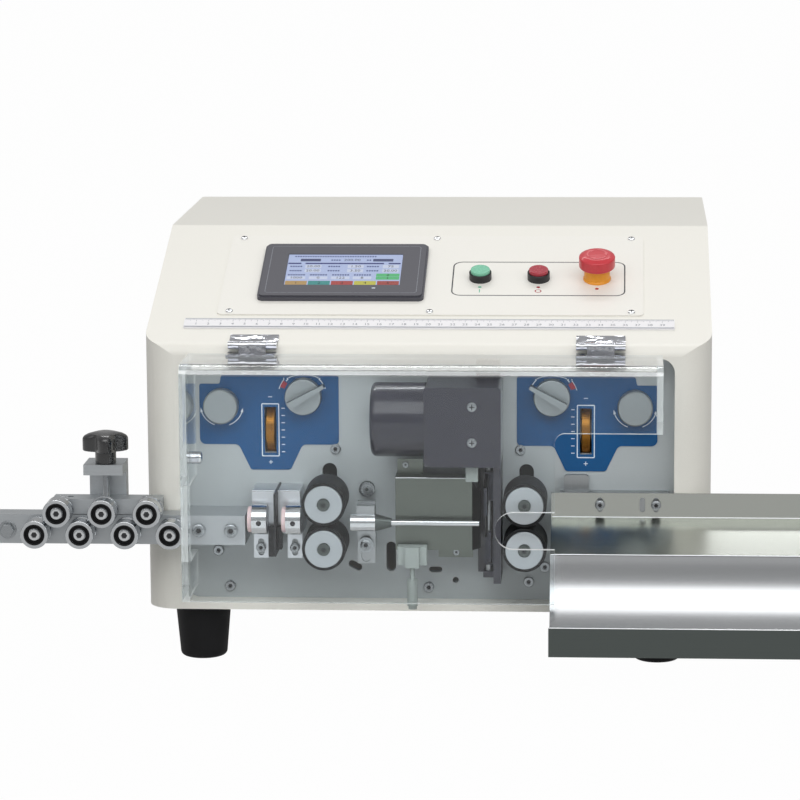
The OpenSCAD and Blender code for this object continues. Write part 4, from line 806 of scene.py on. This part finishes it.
fields("display_bars", "lit_navy", [(u, 11.2, w, 2.2, 0.2) for u, w in ((-42, 11), (0, 66), (42, 10))])
fields("display_titles", "lit_slate", [(u, TITLE_V, 17, 4.6) for u in (-29, 32)])
fields("display_values", "lit_white", [(u, v, 13.5, 5.6) for u in VALUE_U for v in VALUE_V]
       + [(u, LOW_V, 15.5, 4.6) for u in LOW_U])
captions = [(u + k * LETTER_STEP, v, *LETTER) for u in CAPTION_U for v in VALUE_V for k in range(-2, 3)]
captions += [(u + k * LETTER_STEP, -9.2, *LETTER) for u in LOW_U for k in range(-3, 4)]
captions += [(k * LETTER_STEP, 23.6, 1.4, 2.0, 0.2) for k in range(-20, 13)]
captions += [(u + k * LETTER_STEP, TITLE_V, *LETTER)
             for u, count in ((-11, 4), (19, 2)) for k in range(count)]
fields("display_captions", "lit_grey", captions)
fields("display_ready", "lit_green", [(READY_U, v, 19.5, 5.2) for v in READY_V])
for key, u in zip(("tan", "teal", "red", "lime", "rust"), KEY_U):
    fields("display_key_" + key, "lit_" + key, [(u, KEY_V, 18.2, 7.0)])
shown = [(text, u, v) for v, row in zip(VALUE_V, (("20.00", "1.50", "75"), ("20.00", "3.50", "20.00")))
         for text, u in zip(row, VALUE_U)]
shown += [(text, u, LOW_V) for text, u in zip(("1000", "0", "122", "8"), LOW_U)]
shown += [("200.00", 6, TITLE_V)]
shown += [(str(k + 1), u, KEY_V) for k, u in enumerate(KEY_U)]
shown += [(text, READY_U, v) for text, v in zip(("2", "1"), READY_V)]
piece("display_numbers", join(*[number(*entry) for entry in shown]), "lit_ink", "machine", smooth=False)
piece("bezel_film", rim(round_corners(126, 83, 3), 0.5, 0.06, slope_frame(SCREEN_X, SCREEN_S, BEZEL_H)),
      "film_line", "machine", smooth=False)
piece("bezel_lamp", field(27, -33, 3, 1.4, 0.3, BEZEL_H - SCREEN_H), "ink_white", "machine", smooth=False)

# Panel print: a rounded frame round the buttons, a dot under each, and plain signs
START_X, STOP_X, ESTOP_X, BUTTON_S = 39.5, 88, 136.5, 116
DOT_S, SIGN_S = 101, 94
PRINT_T = 0.06
piece("panel_frame", rim(round_corners(144, 60, 8), 1.1, PRINT_T, slope_frame(STOP_X, BUTTON_S, PANEL_T)),
      "ink_black", "machine", smooth=False)


def dot(x, s, r):
    return lathe([(r, 0), (r, PRINT_T), (0, PRINT_T)], slope_frame(x, s, PANEL_T), 16)


def sign(text, x):
    return figures(text, 8, slope_frame(x, SIGN_S, PANEL_T), 0.05)


piece("start_dot", dot(START_X, DOT_S, 1.5), "green_cap", "machine")
piece("stop_dots", join(dot(STOP_X, DOT_S, 1.5), dot(ESTOP_X, 98.5, 1.6)), "red_cap", "machine")
piece("start_sign", sign("I", START_X), "green_cap", "machine", smooth=False)
piece("stop_sign", sign("O", STOP_X), "red_cap", "machine", smooth=False)
estop_top = slope_frame(ESTOP_X, BUTTON_S, 24.5)
piece("estop_arrows", join(*[arc_arrow(estop_top, 8, a, a - 70, 1.3, 3.6) for a in (90, 210, 330)]),
      "ink_pale", "estop", smooth=False)

# Ruler along the slope's lower edge: a line each millimetre, longer at five and ten, and plain numbers
RULER_X0, RULER_LONG, RULER_S0, RULER_S1, RULER_H = -200, 400, 30, 44.5, 2
TICK_HALF = 0.14


def tick(long):
    outline = [(-TICK_HALF, 0), (TICK_HALF, 0), (TICK_HALF, -long), (-TICK_HALF, -long)]
    return slab(outline, 0.03, SAMPLE)


for name, long, marks in (("ruler_ones", 2.6, [k for k in range(1, RULER_LONG) if k % 5]),
                          ("ruler_fives", 3.8, [k for k in range(5, RULER_LONG) if k % 10 == 5]),
                          ("ruler_tens", 5.2, [k for k in range(10, RULER_LONG) if k % 10 == 0])):
    places = [slope_frame(RULER_X0 + k, RULER_S1 - 0.4, RULER_H) for k in marks]
    repeat(name, tick(long), places, "ink_grey", "machine")
piece("ruler_numbers", join(*[figures(str(k), 4.6, slope_frame(RULER_X0 + 10 * k, 35, RULER_H), 0.03)
                              for k in range(1, RULER_LONG // 10)]), "ink_grey", "machine", smooth=False)
piece("ruler_lines", join(*[slab(bar_outline(199.5, 0.35), 0.03, slope_frame(0, s, RULER_H))
                            for s in (RULER_S0 + 0.8, RULER_S1 - 0.6)]),
      "ruler_edge", "machine", smooth=False)


# Prints on the two blue films, and the ribs of the thumbwheels; the rear unit mirrors the front one
def unit_arc(way, place, r, start, stop, width, head):
    """An arc on a unit's film, by its angles on the front unit."""
    start, stop = (a if way < 0 else 180 - a for a in (start, stop))
    return arc_arrow(place, r, start, stop, width, head)


RIB_COUNT = 64
for side, way in UNITS:
    slot = front_frame(way * THUMB_X, LABEL_Y, THUMB_Z)
    dial = front_frame(way * DIAL_X, LABEL_Y, DIAL_Z)
    cap = front_frame(way * CAP_X, LABEL_Y, CAP_Z)
    marks = [rim(round_corners(14.6, 44, 1), 0.8, 0.05, slot),
             unit_arc(way, dial, 18.6, 140, 18, 0.8, 0),
             unit_arc(way, dial, 20.8, 165, 140, 0.6, 0),
             unit_arc(way, cap, 17.5, 250, 200, 0.7, 2.4),
             unit_arc(way, cap, 17.5, 290, 340, 0.7, 2.4)]
    marks += [slab(bar_outline(1.4, 0.3), 0.05, front_frame(way * (THUMB_X - 10.5), LABEL_Y, z))
              for z in range(128, 165, 6)]
    marks += [figures(text, 7, front_frame(way * THUMB_X, LABEL_Y, z), 0.03)
              for text, z in (("\u2212", 173), ("+", 119))]
    piece(f"label_print_{side}", join(*marks), "ink_white", "machine", smooth=False)
    piece(f"label_mark_{side}", unit_arc(way, dial, 18.6, 160, 143, 4.2, 0), "ink_red", "machine",
          smooth=False)
    hub = at(way * THUMB_X, THUMB_Y, THUMB_Z)
    spokes = [(0, math.cos(a), math.sin(a)) for a in round_turn(RIB_COUNT)]
    ribs = [facing(hub + THUMB_R * MM * Vector(out), out, (1, 0, 0)) for out in spokes]
    repeat(f"thumb_ribs_{side}", slab(round_corners(0.8, 6.4, 0.35, 2), 0.25, lifted(-0.05), 0.1), ribs,
           "brass", f"thumb_{side}")

# Straightener: rubber seals in the rollers' mouths
SEAL = [(7.7, 0), (7.7, 3.2), (8.6, 3.2), (8.6, 3.3), (7.6, 3.4), (7.3, 3.1), (7.1, 1.15), (5.6, 1.15),
        (5.0, 0.9), (5.0, 0)]
SEAL_DEEP = 3.2
for row, count, x0, rise, _ in ROLLER_ROWS:
    for i in range(count):
        front = (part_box(f"roller_{row}_{i + 1}")[0].y - FRONT_Y) / MM
        mouth = front_frame(x0 + ROLLER_PITCH * i, front + SEAL_DEEP, WIRE_Z + rise)
        piece(f"roller_seal_{row}_{i + 1}", lathe(SEAL, mouth), "foot_rubber", f"roller_{row[0]}{i + 1}")

# Inlet guides: nylon collars on the wire's way in, and set-screw holes drawn as thin dark discs of painted
# shade
COLLAR = [(5, -1), (5, 3.6), (9.6, 3.6), (10.4, 3), (10.4, -0.4)]
for name, x in zip(("left", "right"), GUIDE_X):
    ring = side_frame(x, WIRE_Y, WIRE_Z + GUIDE_RISE, -1)
    piece(f"guide_collar_{name}", lathe(COLLAR, ring), "pink", "machine")
repeat("guide_set_screws", lathe([(0, 0), (2.1, 0), (2.1, 0.12), (1.7, 0.2), (0, 0.2)], SAMPLE, 16),
       [front_frame(x, WIRE_Y - 12.25, 79.5) for x in GUIDE_SCREW_X], "recess_shade", "machine")

# Cutter: a dark plate behind the blades, and a small light block below the cover
piece("blade_backing", box(41, 57, 14, 18.5, 30, 124, 0.6), "cutter_coat", "machine")
piece("cutter_block", box(33, 43, -31, -20, 113.5, 127, 0.6), "grey_nylon", "machine")

# Feed wheels: socket heads in the middle of each face
for side, way in UNITS:
    for level in LEVELS:
        bolt_y = (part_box(f"spindle_{side}_{level}")[0].y - FRONT_Y) / MM
        screws(f"wheel_bolt_{side}_{level}", 4.9, 0.9, [front_frame(way * WHEEL_X, bolt_y, WHEEL_Z[level])],
               f"feed_{side}_{level}", material="bolt")

# Tray: each fold and the lip's top edge is a small round in bright chrome, paler and shinier than the sheet:
# a real round, and partly a painted highlight
tray_low, tray_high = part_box("tray")
TRAY_X0, TRAY_X1 = tray_low.x / MM, tray_high.x / MM
LIP_Y = (tray_low.y - FRONT_Y) / MM
for name, y, z, r in (("flange_fold", -2.7, 79.6, 0.7), ("chute_fold", -45.5, 57.7, 0.8),
                      ("lip_edge", LIP_Y + 0.75, 13.5, 0.75)):
    piece(f"tray_{name}", round_edge(TRAY_X0 + 0.4, TRAY_X1 - 0.4, y, z, r), "bright", "machine")

# Bright top edges of the guide stands and of the chip guard's fold: small chrome rounds, only smoother on the
# stands, and on the much darker guard partly a painted highlight
for name, x0, x1, y, z in (("stand_edge_left", -141, -122, -12, 101.5),
                           ("stand_edge_right", -120, -102, -12, 101.5),
                           ("guard_fold", -24.5, 37.5, -15, 113.6)):
    piece(name, round_edge(x0 + 0.3, x1 - 0.3, y, z, 0.6), "bright", "machine")

# Broken edges of the plate's slots and hole
for name, x, z, w, h, turn in (("tall", -30.5, 41, 8, 25, 0), ("low", 6, 30.4, 11, 5, 0),
                               ("slanted", -60, 33.3, 12, 6, -28), ("hole", 22.4, 21.7, 5, 5, 0)):
    place = front_frame(x, PLATE_Y, z) @ Matrix.Rotation(math.radians(turn), 4, "Z")
    piece(f"slot_edge_{name}", rim(slot_outline(w, h), -0.6, 0.12, place), "machined", "machine",
          smooth=False)

# A rounded end on the cover's stud
STUD_END = [(5, -0.1), (5, 0.6), (4.4, 1.6), (3, 2.3), (0, 2.6)]
piece("cover_stud_cap", lathe(STUD_END, side_frame(-181, -30, 132)), "bright", "cover")

# Hexagon bolt and washer at the rail's end
RAIL_END = front_frame(-340, -21, 69.8)
WASHER = [(0, -0.1), (7.2, -0.1), (7.2, 0.8), (6.9, 1.1), (0, 1.1)]
HEXAGON = [(0, 1), (5.8, 1), (5.8, 4.4), (5.1, 5), (0, 5)]
piece("rail_end_washer", lathe(WASHER, RAIL_END), "screw", "machine")
piece("rail_end_bolt", lathe(HEXAGON, RAIL_END, 6), "screw", "machine", smooth=False)

# Star knob with a domed top and a threaded screw
knob_low, knob_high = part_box("clamp_knob")
KNOB_R = (knob_high.x - knob_low.x) / 2 / MM
KNOB_H, HUB_H, HUB_R = 16, 10, 8.5
THREAD_R, THREAD_DEEP = 3.0, 0.5
LOBES, LOBE_TURN = 4, math.radians(8)
# Share of the knob's radius, depth of the lobes, and height
GRIP_ROWS = [(0.88, 0.34, 0), (0.97, 0.36, 0.4), (1.0, 0.36, 1.2), (1.0, 0.36, 9.8), (0.98, 0.35, 11.2),
             (0.92, 0.31, 12.6), (0.76, 0.22, 14.2), (0.50, 0.10, 15.4), (0.24, 0.02, 16)]
HUB = [(0, -HUB_H), (HUB_R - 0.4, -HUB_H), (HUB_R, 0.4 - HUB_H), (HUB_R, 0.5), (0, 0.5)]
knob_foot = Matrix.Translation(((knob_low.x + knob_high.x) / 2, (knob_low.y + knob_high.y) / 2,
                                knob_high.z - KNOB_H * MM))
screw_long = (knob_high.z - knob_low.z) / MM - KNOB_H - HUB_H


def star_grip(place, steps=120):
    """The lobed grip, in rings from its foot to its top."""
    bm = bmesh.new()
    rings = []
    for share, deep, h in GRIP_ROWS:
        ring = []
        for a in round_turn(steps):
            r = KNOB_R * MM * share * (1 - deep * (1 - math.cos(LOBES * (a - LOBE_TURN))) / 2)
            ring.append(bm.verts.new(place @ Vector((r * math.cos(a), r * math.sin(a), h * MM))))
        rings.append(ring)
    skin(bm, rings)
    bm.faces.new(rings[0])
    bm.faces.new(rings[-1])
    return bm


knob = piece("star_knob", join(star_grip(knob_foot), lathe(HUB, knob_foot)), "bakelite", "clamp")
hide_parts("clamp_knob")
thread = [(0, -HUB_H - screw_long)]
for k in range(int(screw_long)):
    thread += [(THREAD_R, k - HUB_H - screw_long), (THREAD_R - THREAD_DEEP, k + 0.5 - HUB_H - screw_long)]
thread += [(THREAD_R, 0.5 - HUB_H), (0, 0.5 - HUB_H)]
piece("clamp_thread", lathe(thread, knob_foot), "bright", "clamp")

# Plates behind the hinges, each with two screws
HINGE_PLATE_Z, HINGE_PLATE_T = 197, 1.6
for name, x in (("left", -144.2), ("right", 144)):
    place = front_frame(x, PLATE_Y, HINGE_PLATE_Z)
    piece(f"hinge_plate_{name}", slab(round_corners(47.5, 6.6, 3.2), HINGE_PLATE_T, place, 0.4),
          "clamp_grey", "machine")
screws("hinge_plate_screws", 2.4, 1.4, [front_frame(x, PLATE_Y - HINGE_PLATE_T, HINGE_PLATE_Z)
                                        for x in (-149.4, -137.1, 134, 146)],
       "machine", socket=0, material="bright")

# Heads of the screws that the CAD model carries: raised rims with sockets, each with a dark disc of painted
# shade at its bottom
carried = [(x, -24, 70.5, 5.3) for x in (-183.5, -157.5)]
carried += [(x, -5.5, 90, 3.8) for x in (140.3, 185.5)]
carried += [(x, -19, 56, 3.8) for x in GUIDE_SCREW_X]
carried += [(-48.5, -17.3, 58.3, 4.4)]
for k, (x, y, z, r) in enumerate(carried):
    place = front_frame(x, y, z)
    head = [(r, -0.2), (r, 0.5), (r * 0.8, 1.1), (r * 0.52, 1.2), (r * 0.46, 0.3), (0, 0.3)]
    socket = [(r * 0.44, 0.3), (r * 0.44, 0.36), (0, 0.36)]
    piece(f"carried_head_{k + 1}", lathe(head, place, 36), "screw", "machine")
    piece(f"carried_socket_{k + 1}", lathe(socket, place, 6), "recess_shade", "machine")
STOP_RIM = [(6.2, 0), (6.2, 0.5), (5.2, 0.7), (4.9, 0.2), (1.4, 0.2), (1.2, -0.1), (0, -0.1)]
piece("stop_rim", lathe(STOP_RIM, front_frame(-49.8, PLATE_Y - 4, 97.6)), "screw", "machine")

# Camera at the photograph's angle, turned to the middle of its frame, so that the lens needs no shift
PHOTO_PX, FOCAL_PX, SENSOR_MM = 800, 3464, 36
CAMERA_YAW, CAMERA_PITCH, CAMERA_ROLL = (math.radians(a) for a in (3.707, 90 - 9.766, -0.35))
CAMERA_PLACE = at(157, -2751, 649)
camera = bpy.data.objects.new("camera", bpy.data.cameras.new("camera"))
scene.collection.objects.link(camera)
scene.camera = camera
camera.data.sensor_width = SENSOR_MM
camera.data.lens = FOCAL_PX / PHOTO_PX * SENSOR_MM
camera.data.clip_end = 100
camera.matrix_world = (Matrix.Translation(CAMERA_PLACE) @ Matrix.Rotation(CAMERA_YAW, 4, "Z")
                       @ Matrix.Rotation(CAMERA_PITCH, 4, "X") @ Matrix.Rotation(CAMERA_ROLL, 4, "Z"))
scene.view_settings.view_transform = "Standard"


# Studio: white paper, an even sky and four soft lamps
def seen_white(tree, shader, share, mirrored):
    """Mixes plain white in for rays from the camera and through glass, and less of it for mirrored rays."""
    path = add(tree, "ShaderNodeLightPath")
    gloss = add(tree, "ShaderNodeMath", {0: path.outputs["Is Glossy Ray"], 1: mirrored}, operation="MULTIPLY")
    seen = add(tree, "ShaderNodeMath", {0: path.outputs["Is Camera Ray"],
                                        1: path.outputs["Is Transmission Ray"]}, operation="MAXIMUM")
    part = add(tree, "ShaderNodeMath", {0: seen.outputs[0], 1: share}, operation="MULTIPLY")
    whole = add(tree, "ShaderNodeMath", {0: part.outputs[0], 1: gloss.outputs[0]}, operation="MAXIMUM")
    white = add(tree, "ShaderNodeEmission", {"Color": (1, 1, 1, 1), "Strength": 1.0})
    return add(tree, "ShaderNodeMixShader", {0: whole.outputs[0], 1: shader, 2: white.outputs[0]})


FLOOR = 30.0
floor_data = bpy.data.meshes.new("floor")
floor_data.from_pydata([(x, y, 0) for x, y in bar_outline(FLOOR, FLOOR)], [], [(0, 1, 2, 3)])
floor = bpy.data.objects.new("floor", floor_data)
scene.collection.objects.link(floor)
floor_mat, floor_tree, floor_shader = surface("studio_paper_white", "#9a9a99", 0.9)
mixed = seen_white(floor_tree, floor_shader.outputs["BSDF"], 0.985, 0.45)
floor_tree.links.new(mixed.outputs[0], floor_tree.nodes["Material Output"].inputs["Surface"])
floor_data.materials.append(floor_mat)

world = bpy.data.worlds.new("studio")
scene.world = world
world.use_nodes = True
sky = world.node_tree
way_out = add(sky, "ShaderNodeTexCoord")
height = add(sky, "ShaderNodeSeparateXYZ", {0: way_out.outputs["Generated"]})
bright = add(sky, "ShaderNodeMapRange", {"Value": height.outputs["Z"], "From Min": 0.0, "From Max": 0.9,
                                         "To Min": 0.39, "To Max": 0.50})
sky.links.new(bright.outputs["Result"], sky.nodes["Background"].inputs["Strength"])
sky.nodes["Background"].inputs["Color"].default_value = (1, 1, 1, 1)
LIT_MIDDLE = Vector((0, -0.1, 0.13))


def softbox(name, place, size, power):
    """A rectangular lamp that faces the middle of the machine, in metres and watts."""
    light = bpy.data.lights.new(name, "AREA")
    light.shape = "RECTANGLE"
    light.size, light.size_y = size
    light.energy = power
    obj = bpy.data.objects.new(name, light)
    scene.collection.objects.link(obj)
    obj.location = place
    obj.rotation_euler = (LIT_MIDDLE - Vector(place)).to_track_quat("-Z", "Y").to_euler()


softbox("front_high", (0.1, -2.0, 2.11), (3.2, 1.75), 38)
softbox("back_strip", (0.0, 0.91, 2.12), (2.2, 0.16), 10)
softbox("key_left", (-1.8, -1.8, 1.5), (1.0, 1.0), 3)
softbox("fill_right", (1.9, -1.6, 1.2), (1.0, 1.0), 5)
